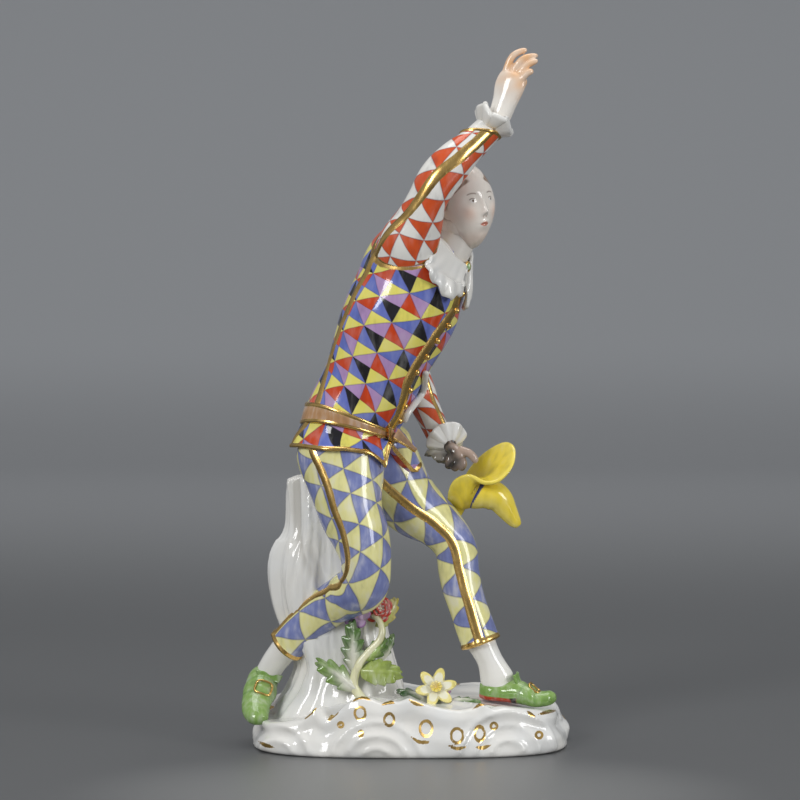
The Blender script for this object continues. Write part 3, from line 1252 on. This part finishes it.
# %% Ruffles
def ruffle(name, middle, axis, radius, rise, folds, depth, curl, hole, body, dusk=0.0):
    """Rings from the hole to the rim: lift = rise (r^2 - 0.4) + depth R waves. The waves lean by the curl.

    The body is the plate's thickness, and the dusk darkens the side that looks down.
    """
    axes = square_axes(axis, [0, 1, 0.2])
    r = np.linspace(hole, 1, 28)[:, None]
    a = turn(210)
    swell = a * folds + 0.6 * np.sin(a * 2 + 1)
    wave = np.sin(swell) * r**1.5
    fine = 0.25 * np.sin(a * (2 * folds + 1) + 1) * r**2
    reach = radius * r * (1 + 0.05 * wave)
    lean = a + curl * np.sin(2 * swell) * r
    lift = rise * (r**2 - 0.4) + depth * radius * (wave + fine)
    points = from_axes(middle, axes, lift, reach * np.cos(lean), reach * np.sin(lean))
    thick = body * rounded((1 - r) * radius, 0.32)
    low = smooth(0.5 - 0.9 * (wave + fine))
    shade = dusk * smooth((np.asarray(middle) - points)[..., 2] / radius + 0.3)
    hollows = tuple(0.75 * side * (1 - 0.5 * r) + shade for side in (1 - low, low))
    return sheet(name, points, thick, white_paint, hollow=hollows)


under_sleeve = [[10.2, -7.4, 85.8, 2.1, 2.1], [11.4, -7.0, 87.0, 2.0, 2.0], [12.3, -6.8, 88.0, 1.8, 1.7]]
shell("under_sleeve", plain_tube(under_sleeve, raised_side, (24, 48)), white_paint, hollow=0.0)
ruffle("ruffle_raised", [12.3, -7.0, 87.8], [0.60, 0.12, 0.78], 3.4, 2.2, 4, 0.14, 0.12, 0.5, 0.95)
ruffle("ruffle_lowered", [5.95, 2.9, 39.1], [0.35, -0.75, -0.56], 3.2, -1.8, 8, 0.07, 0.05, 0.3, 0.6, 1.3)
ruffle("ruffle_below", [5.2, 4.6, 38.1], [-0.4, -0.1, -0.9], 2.2, 3.4, 4, 0.12, 0.05, 0.3, 0.5, 1.9)

# %% [markdown]
# ## Hands
# The palm and the fingers are separate shells, fused by a fine remesh so that they flow into each other.


# %% Hands
def hand(name, palm, side, fingers, thickness, warm_from, base=white_ware, warm_tone=flesh, fade=6):
    """The palm and its fingers, tapering limbs with round joints, fused and painted in flesh."""
    parts = [shell("palm", plain_tube(palm, side, (40, 40), 1, 0.7), skin_paint)]
    for finger in fingers:
        path = [[*p, thickness * w, thickness * w] for p, w in zip(finger, (1.12, 1.0, 0.86))]
        parts.append(shell("finger", plain_tube(path, [0, 1, 0], (32, 24), 1, 0.3, 0.2), skin_paint))

    def paint(points):
        warm = smooth((points - warm_from[0]) @ level(warm_from[1]) / fade)
        spots = 0.5 + 0.5 * np.sin(points @ [1.9, 0.7, -1.3]) * np.sin(points @ [0.6, 1.1, 1.7] + 1)
        return {"tint": over(tint(base, points.shape[:1]), warm_tone, 0.08 + warm * (0.45 + 0.5 * spots))}

    return fuse(name, parts, hand_voxel, 5, skin_paint, paint)


raised_palm = [
    [10.9, -7.2, 86.5, 1.75, 1.6],
    [13.2, -6.6, 88.6, 1.75, 1.5],
    [14.3, -6.4, 91.2, 1.95, 1.35],
    [15, -6.3, 93.4, 2.35, 1.25],
    [15.8, -6.3, 95.6, 2.25, 1],
]
raised_fingers = [
    [[13.9, -5.8, 94], [15.4, -5.8, 98], [17.7, -5.7, 99.25]],
    [[14.6, -6, 94], [16.8, -6.2, 97.5], [19.35, -6.2, 98.3]],
    [[15.3, -6.4, 93.8], [17.4, -6.7, 96.5], [19.3, -6.8, 97.55]],
    [[15.6, -6.8, 93.2], [17.4, -7.2, 95.3], [18.6, -7.3, 95.95]],
    [[15.0, -5.9, 91.4], [16.7, -5.5, 93.2], [17.5, -5.4, 94.8]],
]
hand(
    "hand_raised", raised_palm, [0.85, -0.35, -0.4], raised_fingers, 0.54,
    (np.array([13.5, -6, 91]), [0.6, 0, 0.8]),
)
lowered_palm = [
    [4.8, 4.4, 40.0, 0.9, 0.9],
    [6.1, 2.9, 38.5, 0.95, 0.95],
    [7.1, 2.3, 37.5, 1.3, 1.15],
    [8.0, 2.4, 36.7, 1.3, 1.05],
]
lowered_fingers = [
    [[7.6, 1.9, 38.0], [9.3, 1.7, 37.4], [10.4, 1.8, 36]],
    [[7.8, 2.2, 36.8], [8.2, 1.8, 35.8], [7.8, 2.3, 34.9]],
    [[7.0, 2.4, 36.9], [7.1, 1.9, 35.7], [6.8, 2.4, 34.8]],
    [[6.2, 2.7, 37.1], [6.1, 2.3, 36.0], [5.9, 2.8, 35.1]],
]
hand(
    "hand_lowered", lowered_palm, [0, 1, 0], lowered_fingers, 0.66,
    (np.array([8.0, 3, 38.2]), [-0.8, 0, -0.6]), (0.46, 0.34, 0.27), (0.012, 0.008, 0.004), 1.7,
)

# %% [markdown]
# ## The head
# The face is a plain, calm one of even proportions: the eyes half way down the head, the nose ending over a
# third of the way from them to the chin, and the mouth half way. Bumps and hollows are added to a ball, and
# brows, lids, iris and lips are thin painted lines.

# %% Head form
head_middle = np.array([8.2, -2, 75.7])
head_axes = square_axes([-0.17, 0.05, 0.98], [0.55, -0.83, 0.1])
head_high, head_deep, head_wide = 6.8, 5.4, 4.6
# rows and columns crowd together on the face, where the paint is finest
t = rows(180)
t = 0.02 + (np.pi - 0.04) * t + 0.25 * np.sin(2 * np.pi * t)
a = np.pi / 2 + turn(200) - 0.6 * np.sin(turn(200))
up, sideways, forward = np.broadcast_arrays(np.cos(t), np.sin(t) * np.cos(a), np.sin(t) * np.sin(a))
ahead = smooth((forward + 0.1) / 0.35)
eye_up, eye_side = 0.02, 0.36
aside = np.abs(sideways)
from_eye = aside - eye_side
eye_gap = np.hypot(up - eye_up, from_eye / 1.25)
nose_ridge = smooth((up + 0.36) / 0.1) * smooth((0.14 - up) / 0.42)
form = 0.17 * nose_ridge * (0.35 + 0.65 * smooth((0.16 - up) / 0.5)) * bump(sideways, 0, 0.095)
form += 0.035 * bump(up, -0.30, 0.06) * bump(aside, 0.10, 0.06)
form -= 0.055 * bump(eye_gap, 0, 0.17)
form += 0.050 * bump(eye_gap, 0, 0.095)
form += 0.030 * bump(up, 0.20, 0.09) * bump(aside, 0.3, 0.3)
form += 0.035 * bump(up, -0.22, 0.16) * bump(aside, 0.50, 0.17)
mouth_up = -0.52
form += 0.050 * bump(up, mouth_up, 0.13) * bump(sideways, 0, 0.24)
both_lips = bump(up, mouth_up + 0.045, 0.03) + bump(up, mouth_up - 0.05, 0.035)
form += 0.022 * both_lips * bump(sideways, 0, 0.17)
form -= 0.030 * bump(up, mouth_up, 0.014) * bump(sideways, 0, 0.19)
form -= 0.020 * bump(up, -0.68, 0.05) * bump(sideways, 0, 0.2)
form += 0.060 * bump(up, -0.84, 0.12) * bump(sideways, 0, 0.24)
form *= ahead
jaw = 1 - 0.3 * smooth(-up)
deep = head_deep * np.where(forward < 0, 1.02, 0.98)
head_points = from_axes(
    head_middle,
    head_axes,
    up * head_high,
    forward * deep * (1 + form) + np.where(forward > 0, 0, -0.2 * smooth(-forward * 4)),
    sideways * head_wide * jaw,
)

# %% Face paint
colour = skin(0.13, up.shape)
blush = bump(up, -0.26, 0.17) * bump(aside, 0.52, 0.2)
colour = over(colour, (0.78, 0.42, 0.28), 0.42 * blush * ahead)
colour = over(colour, (0.74, 0.50, 0.38), 0.35 * bump(up, -0.8, 0.15) * ahead)
in_eye = smooth((0.093 - np.hypot((up - eye_up) * 1.9, from_eye)) / 0.02)
colour = over(colour, (0.78, 0.76, 0.72), in_eye * ahead)
look = sideways - np.sign(sideways) * eye_side - 0.012
iris = smooth((0.036 - np.hypot(up - eye_up, look)) / 0.012) * in_eye
colour = over(colour, (0.10, 0.045, 0.02), iris * ahead)
upper_lid = bump((up - eye_up) - (0.052 - 2.8 * from_eye**2), 0, 0.011)
lid = upper_lid * smooth((0.105 - np.abs(from_eye)) / 0.02)
colour = over(colour, (0.09, 0.04, 0.02), 0.9 * lid * ahead)
arch = (up - 0.155) - (0.03 - 1.1 * from_eye**2)
brow = bump(arch, 0, 0.014) * smooth((0.16 - np.abs(from_eye)) / 0.04)
colour = over(colour, (0.13, 0.06, 0.03), 0.75 * brow * ahead)
lip_shape = 0.055 * (1 - (sideways / 0.20) ** 2)
lips = smooth((lip_shape - np.abs(up - mouth_up)) / 0.012) * (aside < 0.2)
colour = over(colour, (0.58, 0.16, 0.09), 0.85 * lips * ahead)
seam_line = bump(up, mouth_up, 0.008) * smooth((0.19 - aside) / 0.03)
colour = over(colour, (0.25, 0.05, 0.03), 0.8 * seam_line * ahead)
nostril = bump(up, -0.36, 0.02) * bump(aside, 0.06, 0.03)
colour = over(colour, (0.35, 0.14, 0.08), 0.6 * nostril * ahead)
hairline = 0.36 + 0.48 * bump(up, 0.45, 0.25) + 0.015 * np.sin(up * 30)
at_temple = smooth((hairline - forward) / 0.05) * smooth((up + 0.12) / 0.12)
strand = 0.5 + 0.5 * np.sin(60 * forward + 8 * up)
colour = over(colour, (0.20, 0.11, 0.06), at_temple * (0.75 + 0.2 * strand))
shell("head", head_points, skin_paint, tint=colour)

# %% Hair, ears and neck
d = ball(170, 80)
strands = 0.014 * np.sin(34 * np.arctan2(d[..., 0], d[..., 1] + 1.2) + 6 * d[..., 2])
hair = from_axes(
    head_middle,
    head_axes,
    d[..., 2] * head_high * 0.96 + 0.35,
    d[..., 1] * head_deep * (0.97 + strands) - 0.9,
    d[..., 0] * head_wide * (1.03 + strands),
)
hair_colour = over(tint((0.16, 0.085, 0.045), d.shape[:2]), (0.32, 0.20, 0.12), 0.5 + 30 * strands)
nape = smooth((-0.15 - d[..., 2] - 0.35 * d[..., 1]) / 0.15)
hair_colour = over(hair_colour, skin(0.15, ()), nape)
shell("hair", hair, tinted_paint, tint=hair_colour)
for sign, name in ((-1, "ear_left"), (1, "ear_right")):
    d = ball(36, 26)
    dish = 1 - 0.35 * bump(np.hypot(d[..., 2], d[..., 1]), 0, 0.5) * (d[..., 0] * sign > 0)
    points = from_axes(
        head_middle,
        head_axes,
        d[..., 2] * 1.3 - 0.4,
        d[..., 1] * 0.8 - 0.3,
        sign * head_wide + d[..., 0] * 0.6 * dish,
    )
    shell(name, points, skin_paint, tint=skin(0.2, d.shape[:2]))
neck_path = [[5.2, -1.2, 67.5, 3.6, 3.4], [6.9, -1.5, 70.2, 3.1, 3], [8, -1.8, 73, 2.8, 2.8]]
neck = plain_tube(neck_path, body_left, (30, 60))
shell("neck", neck, skin_paint, tint=skin(0.08, neck.shape[:2]))

# %% [markdown]
# ## The collar
# A wide white collar lies over the shoulders and parts at the front under a green and gilt button. Its free
# edge curls out in soft scallops, so the plate follows the trunk and lifts off it towards that edge.

# %% Collar
collar_foot = [(-0.2, 0.88), (0.4, 0.86), (0.83, 0.784), (1.0, 0.72), (1.1, 0.676), (1.3, 0.664),
               (1.4, 0.668), (1.55, 0.7), (1.72, 0.70), (1.8, 0.684), (1.95, 0.678), (2.02, 0.69),
               (2.13, 0.70), (2.18, 0.722), (2.28, 0.744), (2.36, 0.784), (2.49, 0.85), (2.68, 0.905),
               (3.1, 0.92), (4.2, 0.92), (5.2, 0.90), (6.083, 0.88)]
collar_top = [(-0.2, 0.46), (0.6, 0.46), (1.11, 0.32), (1.5, 0.20), (2.317, 0.21), (2.945, 0.374),
              (4.25, 0.478), (5.2, 0.5), (6.083, 0.46)]
angle = turn(340, -0.2)
down = rows(32)
foot = soft_table(collar_foot, angle, 0.03)
slit = np.exp(-(((angle - 1.47) / 0.085) ** 4))
foot = mix(foot, 0.93, slit * 0.97)
calm = 1 - 0.75 * bump(turned_by(angle, 1.7), 0, 0.45)
curl = 0.012 * np.sin(30 * angle) * (1 - slit) * calm
neck_share = soft_table(collar_top, angle, 0.1)
on_neck = limb(neck_path, body_left, angle, neck_share, 1.0, 0.35)
below = np.clip((down - 0.3) / 0.7, 0, 1)
share = mix(0.985, foot + curl, below)
folds = 0.20 * below * np.sin(11 * angle + 1.5 * np.sin(3 * angle)) + 0.14 * below * np.sin(6 * angle + 1)
flare = 0.5 * below**3 * (1 + 0.9 * calm * np.sin(30 * angle + 0.6)) + folds
close = 1 - 0.45 * bump(turned_by(angle, 1.12), 0, 0.36)
on_trunk = trunk(angle, share, (0.95 + 0.05 * below + flare * (1 - slit)) * close)
points = mix(on_neck, on_trunk, smooth(down / 0.36)[..., None])
# at the front it hangs straight from the neck to its foot, a little full
outward = np.cos(angle)[..., None] * body_left + np.sin(angle)[..., None] * np.cross(body_left, [0, 0, 1])
straight = mix(on_neck, on_trunk[-1], down[..., None]) + 0.55 * np.sin(np.pi * down)[..., None] * outward
points = mix(points, straight, bump(turned_by(angle, 1.3), 0, 0.55)[..., None])
thick = (0.55 + 0.3 * below**4) * rounded((1 - down) * 7, 0.4) * rounded(down * 7, 0.3)
shade = smooth(-np.sin(30 * angle + 0.6) * below**2 - 3 * folds)
sheet("collar", points, thick, white_paint, hollow=0.45 * shade)
place = limb(neck_path, body_left, np.array(1.55), np.array(0.19), 1.0, 0.75)
d = ball(32, 24)
rim_gilt = (d @ level([0.35, -1, 0]) - 0.80) * 3
button_green = tint((0.25, 0.42, 0.15), d.shape[:2])
shell("collar_button", place + d * [0.50, 0.45, 0.85], tinted_paint, tint=button_green, gilding=rim_gilt)

# %% [markdown]
# ## The hat
# A bent cone with a wide brim that curls at one end and flares at the other. The brim is a plate between
# the mouth of the crown and a closed line through twelve points, and the crown is a tapering limb.

# %% Hat
crown_middle = np.array([9.6, 5, 31.0])
crown_radius, crown_share, opening_depth = 2.6, 0.42, 1.6
hat_axes = square_axes([-0.85, 0.15, 0.53], [0.53, 0, 0.85])
rim_points = np.array([
    [16.3, 5.2, 38.2], [16, 2.7, 35.6], [13.9, 1.3, 33.3], [11.5, 0.8, 33], [9.1, 1.2, 34.3], [6.6, 2.6, 33],
    [5.9, 4.4, 29.8], [7.5, 6, 27.4], [8.3, 8.2, 29.2], [8.6, 9.6, 33], [11.2, 9.4, 36.6], [14.6, 7.8, 38.8],
])


def closed_line(points, share):
    """A smooth closed line through points, by the open one's rule, with its ends run over each other."""
    count = len(points)
    looped = np.vstack([points[-2:], points, points[:3]])
    return spline(looped, (np.mod(share, 1) * count + 2) / (len(looped) - 1))


far = np.concatenate([np.linspace(0.02, crown_share, 14), np.linspace(crown_share, 1, 40)[1:]])[:, None]
angle = turn(190)
inner = np.minimum(1, far / crown_share)
outer = np.maximum(0, (far - crown_share) / (1 - crown_share))
across = crown_radius * inner
sunk = opening_depth * (inner**2 - 1)
foot = from_axes(crown_middle, hat_axes, sunk, across * np.cos(angle), -across * np.sin(angle))
ahead = 0.09 * (1 + np.cos(angle))  # the brim's folds lean round towards the lip
edge = closed_line(rim_points, angle / (2 * np.pi) + ahead * smooth(np.cos(angle / 2)))
brim = foot + (edge - foot) * outer[..., None]
thick = 0.66 * rounded((1 - far) * 6, 0.3)
shade = over(tint(hat_yellow, brim.shape[:2]), (0.50, 0.36, 0.02), 0.6 * smooth((0.62 - far) / 0.3))
shade = over(shade, (0.86, 0.74, 0.16), 0.5 * smooth((far - 0.8) / 0.2))
sheet("hat_brim", brim, thick, hat_paint, tint=shade)
hat_path = [
    [8.0, 5, 31.9, 2.3, 2.3],
    [9.9, 5, 30.9, 2.4, 2.25],
    [11.5, 5, 30.9, 2.5, 2.2],
    [12.9, 5, 30.7, 2.6, 2.35],
    [14.1, 5, 29.9, 2.25, 2.1],
    [15.2, 5, 28.3, 1.65, 1.6],
    [16.15, 5, 26.9, 1.15, 1.15],
    [17.0, 5, 25.9, 0.75, 0.75],
]
share, angle = rows(110), turn(90)
cone = limb(hat_path, [0, 1, 0], angle, share, closing(share, 1, 0.5, 0.12))
colour = over(tint(hat_yellow, cone.shape[:2]), (0.88, 0.78, 0.25), 0.4 * bump(np.sin(angle), 0.6, 0.5))
# the crown ends inside the brim as a bowl, and the blue band lies just outside it
along_axis = (cone - crown_middle) @ hat_axes[0]
off_axis = np.linalg.norm(cone - crown_middle - along_axis[..., None] * hat_axes[0], axis=-1)
bowl = -0.3 - opening_depth * np.clip(1 - (off_axis / crown_radius) ** 2, 0, 1)
cone = cone - np.maximum(0, along_axis - bowl)[..., None] * hat_axes[0]
colour = over(colour, (0.03, 0.045, 0.19), smooth((0.42 - np.abs(along_axis + 0.8)) / 0.06))
shell("hat_crown", cone, hat_paint, tint=colour)

# %% [markdown]
# ## Flowers and leaves
# The applied flowers are pressed from small bits of clay. A leaf is a plate with a toothed outline and a
# raised midrib, painted dark at the tips. A flower is a ring of petal plates round an eye.


# %% Leaves
def leaf(name, root, tip, face, width, lobes, pale, dark, scallop, veins, fold):
    """x across, y along: half width = an egg's outline times teeth that rise slowly and fall fast."""
    line = np.subtract(tip, root)
    axes = square_axes(line, face)
    long = np.linalg.norm(line)
    y = np.linspace(0.004, 0.996, 68)[:, None]
    x = np.linspace(-1, 1, 31)[None, :]
    beat = np.mod(lobes * (y + 0.04 * np.sign(x)), 1.0)
    lobe = np.minimum(beat / 0.72, (1 - beat) / 0.28)
    edge = np.sin(np.pi * (0.04 + 0.92 * y) ** 0.85) ** 0.8 * (1 - scallop + scallop * lobe**0.8)
    sweep = 0.35 / lobes * np.abs(x) ** 1.5 * lobe
    arch = fold * np.sin(np.pi * y) - fold * np.abs(x) ** 1.5
    arch = arch + 0.22 * (lobe - 0.5) * np.abs(x) * smooth(np.abs(x) * 3)
    rib = 0.16 * bump(x, 0, 0.10) * (1 - 0.6 * y)
    points = from_axes(root, axes, (y + sweep) * long * 0.94, arch + rib, 0.85 * x * width * edge)
    reach = smooth(1.5 * y + 0.9 * np.abs(x) - 0.45)
    colour = over(tint(pale, points.shape[:2]), dark, reach * (0.72 + 0.28 * lobe))
    fine = bump(np.sin(9 * np.pi * (y * lobes / 5 - 0.45 * np.abs(x))), 1, 0.5)
    colour = over(colour, np.asarray(dark) * 0.45, veins * fine * reach)
    colour = over(colour, pale, 0.8 * bump(x, 0, 0.07) * smooth((0.85 - y) / 0.5))
    thick = 0.55 * rounded((1 - np.abs(x)) * width, 0.25) * rounded(np.minimum(y, 1 - y) * long, 0.25)
    return sheet(name, points, thick, tinted_paint, False, tint=colour)


leaf_green, leaf_pale = (0.075, 0.17, 0.025), (0.66, 0.66, 0.54)
leaf_yellow, leaf_deep = (0.34, 0.42, 0.11), (0.025, 0.085, 0.015)
leaves = [
    ([-8.6, -5.4, 4.4], [-8.9, -5.6, 12.6], [0, -1, 0.1], 2.3, 4.5, leaf_pale, leaf_green, 0.55, 0.55, 0.6),
    ([-8.2, -6, 1.8], [-14.4, -6.2, 6.4], [0.1, -1, 0.3], 2.3, 3.5, (0.70, 0.70, 0.60), (0.16, 0.28, 0.05),
     0.5, 0.3, 0.6),
    ([-7.6, -5.6, 4.6], [-1.0, -6.2, 4.2], [0, -1, 0.4], 2.6, 4.5, leaf_yellow, (0.26, 0.34, 0.07), 0.22,
     0.12, 0.5),
    ([-6.8, -5.2, 6.2], [-3.4, -4.4, 9.6], [0.2, -1, 0], 1.7, 3.5, (0.35, 0.48, 0.14), leaf_green, 0.5, 0.6,
     0.9),
    ([-4.8, -2.6, 10.8], [-1.9, -1.2, 15.4], [0.4, -1, 0], 1.6, 3.5, (0.45, 0.50, 0.14), (0.48, 0.40, 0.04),
     0.35, 0.3, 0.6),
    ([-5, -1, 5], [-2.4, -0.4, 9.6], [0.8, -0.6, 0], 1.2, 3.5, leaf_pale, leaf_green, 0.45, 0.4, 0.5),
    ([3.4, -7, -0.2], [-2.0, -6.4, 1.9], [0, -0.6, 1], 1.6, 3.5, leaf_pale, leaf_deep, 0.5, 0.5, 0.5),
    ([3.2, -7.6, -0.4], [-2.2, -8.2, -0.2], [0, -0.7, 1], 1.3, 3.5, leaf_pale, leaf_green, 0.5, 0.4, 0.5),
    ([4.6, -7.2, -0.1], [11.2, -6.8, 0], [0, -0.6, 1], 1.4, 4.5, leaf_pale, leaf_green, 0.5, 0.5, 0.5),
]
for n, spec in enumerate(leaves):
    leaf(f"leaf_{n + 1}", *spec)
stem_path = [[-7.2, -5.9, 0.2, 0.75, 0.75], [-8.6, -5.7, 2.6, 0.70, 0.70], [-7.6, -5.7, 6, 0.62, 0.62],
             [-4.6, -5.3, 9.4, 0.55, 0.55], [-4.4, -4.8, 11.6, 0.5, 0.5], [-5.6, -4.2, 13.2, 0.45, 0.45]]
stem = plain_tube(stem_path, [0, 1, 0], (110, 28))
shaded = smooth(0.9 * np.sin(turn(28) + 0.4)) * smooth(rows(110) * 2)
stem_colour = over(tint((0.76, 0.74, 0.48), stem.shape[:2]), (0.42, 0.46, 0.08), shaded)
shell("stem", stem, tinted_paint, tint=stem_colour)


# %% Flowers
def petal_ring(
    name, middle, face, radius, petals, cup, inner, outer, edge,
    turned=0.0, edge_from=0.86, notch=0.16, point=0.7,
):
    """Joined petals: reach = R r (1 + notch r (2 |cos(petals a / 2)|^point - 1.2)) and lift = cup R r^2."""
    axes = square_axes(face, [0, 0.3, 1])
    r = np.linspace(0.06, 1, 22)[:, None]
    a = turn(22 * petals)
    lobe = np.cos(petals * (a + turned))
    reach = radius * r * (1 + notch * r * (np.abs(np.cos(petals * (a + turned) / 2)) ** point * 2 - 1.2))
    lift = cup * radius * r**2 + 0.05 * radius * r * lobe + 0.02 * np.sin(3 * petals * a) * r**2
    points = from_axes(middle, axes, lift, reach * np.cos(a), reach * np.sin(a))
    colour = over(tint(inner, points.shape[:2]), outer, smooth((r - 0.25) / 0.4))
    colour = over(colour, edge, smooth((r - edge_from) / 0.08))
    colour = over(colour, np.asarray(inner) * 0.6, 0.5 * bump(lobe, -1, 0.25))
    thick = 0.42 * rounded((1 - r) * radius, 0.2)
    return sheet(name, points, thick, tinted_paint, tint=colour)


cream, petal_shade, eye_yellow = (0.80, 0.78, 0.60), (0.68, 0.66, 0.48), (0.80, 0.60, 0.06)
narcissus = [3.9, -8, 2.3]
facing = level([0.1, -1, 0.55])
pale_rim = (0.80, 0.70, 0.22)
petal_ring("narcissus", narcissus, facing, 2.6, 6, 0.16, petal_shade, cream, pale_rim, 0.3, 0.76, 0.3, 1.3)
cup = np.asarray(narcissus) + 0.35 * facing
petal_ring("narcissus_cup", cup, facing, 0.8, 8, 0.75, (0.62, 0.42, 0.04), eye_yellow, (0.82, 0.68, 0.15))
rose = np.array([-4.9, -3.4, 14.0])
to_front = level([0.35, -1, 0.15])
rose_red, rose_white = (0.50, 0.035, 0.015), (0.74, 0.68, 0.62)
rose_rings = [(2.15, -0.5, 0.15), (1.75, 0.1, 0.35), (1.25, 0.6, 0.6), (0.75, 1.0, 0.9)]
for n, (size, lift, cup) in enumerate(rose_rings):
    middle = rose + lift * to_front
    inner = rose_white if n < 2 else rose_red
    petal_ring(f"rose_{n + 1}", middle, to_front, size, 5, cup, inner, rose_white, rose_red, 0.7 * n, 0.8)
lilac_flower = np.array([-8.2, -4.6, 13.2])
lilac_tones = ((0.75, 0.70, 0.62), (0.52, 0.36, 0.55), (0.34, 0.17, 0.38))  # from the eye to the edge
petal_ring("lilac_flower", lilac_flower, level([0, -1, -0.1]), 1.95, 5, 0.1, *lilac_tones, 0.2)
bead_at("lilac_eye", lilac_flower + np.array([0, -0.35, 0]), 0.5, eye_yellow)
purple = np.array([4.2, -6.4, 2.0])
purple_tones = ((0.70, 0.55, 0.62), (0.48, 0.26, 0.45), (0.30, 0.10, 0.25))
petal_ring("purple_flower", purple, level([0.1, -0.6, 0.9]), 2.0, 6, 0.2, *purple_tones, 0.1)


# %% Hearts of the blossoms
def heart(name, middle, radius, colour):
    """A lumpy bud behind a blossom's petals: radius (1 + 0.08 sin(7x + 5z))."""
    d = ball(30, 20)
    grow = radius * (1 + 0.08 * np.sin(7 * d[..., 0] + 5 * d[..., 2]))
    points = np.asarray(middle) + d * grow[..., None]
    return shell(name, points, tinted_paint, tint=tint(colour, d.shape[:2]))


heart("rose_heart", [-4.9, -3.0, 14], 1.6, (0.36, 0.45, 0.12))
heart("lilac_heart", [-8.2, -3.9, 13.2], 1.45, (0.50, 0.34, 0.52))
heart("purple_heart", [4, -6, 1.2], 1.5, (0.22, 0.32, 0.08))

# %% [markdown]
# ## A quiet studio
# A grey floor, darkest near the work, curves up into a paler backdrop. A tall soft box to the left gives
# the long white reflections that show how round and glossy the ware is, with a weaker one on the right and
# one overhead.

# %% Floor and backdrop
across = np.linspace(-2.5, 2.5, 3)[None, :]
floor_rows = 80
sweep = np.linspace(0, 1, floor_rows)[:, None]
bend = np.clip((sweep - 0.4) / 0.3, 0, 1) * np.pi / 2
depth = np.where(sweep < 0.4, mix(-1.6, 1.2, sweep / 0.4), 1.2 + 0.8 * np.sin(bend))
height = 0.8 * (1 - np.cos(bend)) + 2.5 * np.clip((sweep - 0.7) / 0.3, 0, 1)
backdrop = side_by_side(across, depth, height)
floor_quads = grid_quads(np.arange(floor_rows * 3).reshape(floor_rows, 3))
floor_mesh = bpy.data.meshes.new("floor")
floor_mesh.from_pydata(backdrop.reshape(-1, 3).tolist(), [], floor_quads.tolist())
floor_mesh.shade_smooth()
floor = bpy.data.objects.new("floor", floor_mesh)
bpy.context.scene.collection.objects.link(floor)
floor_paint = Paint("floor")
place = floor_paint.nodes.new("ShaderNodeSeparateXYZ")
floor_paint.links.new(floor_paint.place, place.inputs[0])
sideways = floor_paint.sum("POWER", floor_paint.sum("MULTIPLY", place.outputs["X"], 0.75), 2.0)
forward = floor_paint.sum("POWER", floor_paint.sum("ADD", place.outputs["Y"], 0.09), 2.0)
pool = floor_paint.ease(floor_paint.sum("ADD", sideways, forward), 0.0, 0.006, 1.0, 0.0)
near_tone = floor_paint.blend((0.10, 0.102, 0.104), (0.19, 0.192, 0.19), pool)
far_share = floor_paint.ease(place.outputs["Y"], 0.25, 1.15)
table_tone = floor_paint.blend(near_tone, (0.40, 0.406, 0.415), far_share)
tone = floor_paint.blend(table_tone, (0.52, 0.53, 0.543), floor_paint.ease(place.outputs["Z"], 0.0, 0.08))
floor_paint.feed(floor_paint.shader.inputs["Base Color"], tone)
floor_paint.shader.inputs["Roughness"].default_value = 0.42
floor_mesh.materials.append(floor_paint.material)


# %% Lights
def soft_box(name, place, aim, size, watts):
    """A rectangular lamp at a place, turned to look at a point."""
    data = bpy.data.lights.new(name, "AREA")
    data.shape = "RECTANGLE"
    data.size, data.size_y = size
    data.energy = watts
    lamp = bpy.data.objects.new(name, data)
    lamp.location = place
    z = level(np.subtract(place, aim))
    x = level(np.cross([0, 0, 1], z))
    turned = np.column_stack([x, np.cross(z, x), z])
    lamp.rotation_euler = Matrix(turned.tolist()).to_euler()
    bpy.context.scene.collection.objects.link(lamp)


soft_box("key", (-0.62, -0.80, 0.62), (0, 0, 0.11), (0.36, 0.44), 6.6)
soft_box("fill", (0.85, -0.55, 0.35), (0, 0, 0.11), (0.30, 0.50), 4.4)
soft_box("overhead", (0.05, 0.15, 1.0), (0, 0, 0.1), (0.8, 0.6), 4.2)
world = bpy.data.worlds.new("room")
bpy.context.scene.world = world
world.use_nodes = True
world.node_tree.nodes["Background"].inputs["Color"].default_value = (0.60, 0.62, 0.65, 1)
world.node_tree.nodes["Background"].inputs["Strength"].default_value = 0.5
bpy.context.scene.view_settings.view_transform = "Standard"

# %% [markdown]
# ## Handing over
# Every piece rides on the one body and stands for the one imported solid, whose finish they share.

# %% Ride, replace and measure
for piece in pieces:
    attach(piece, "root")
    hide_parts("comedian_figure")
count = sum(len(p.data.polygons) for p in pieces)
print(len(pieces), "pieces,", count, "faces")
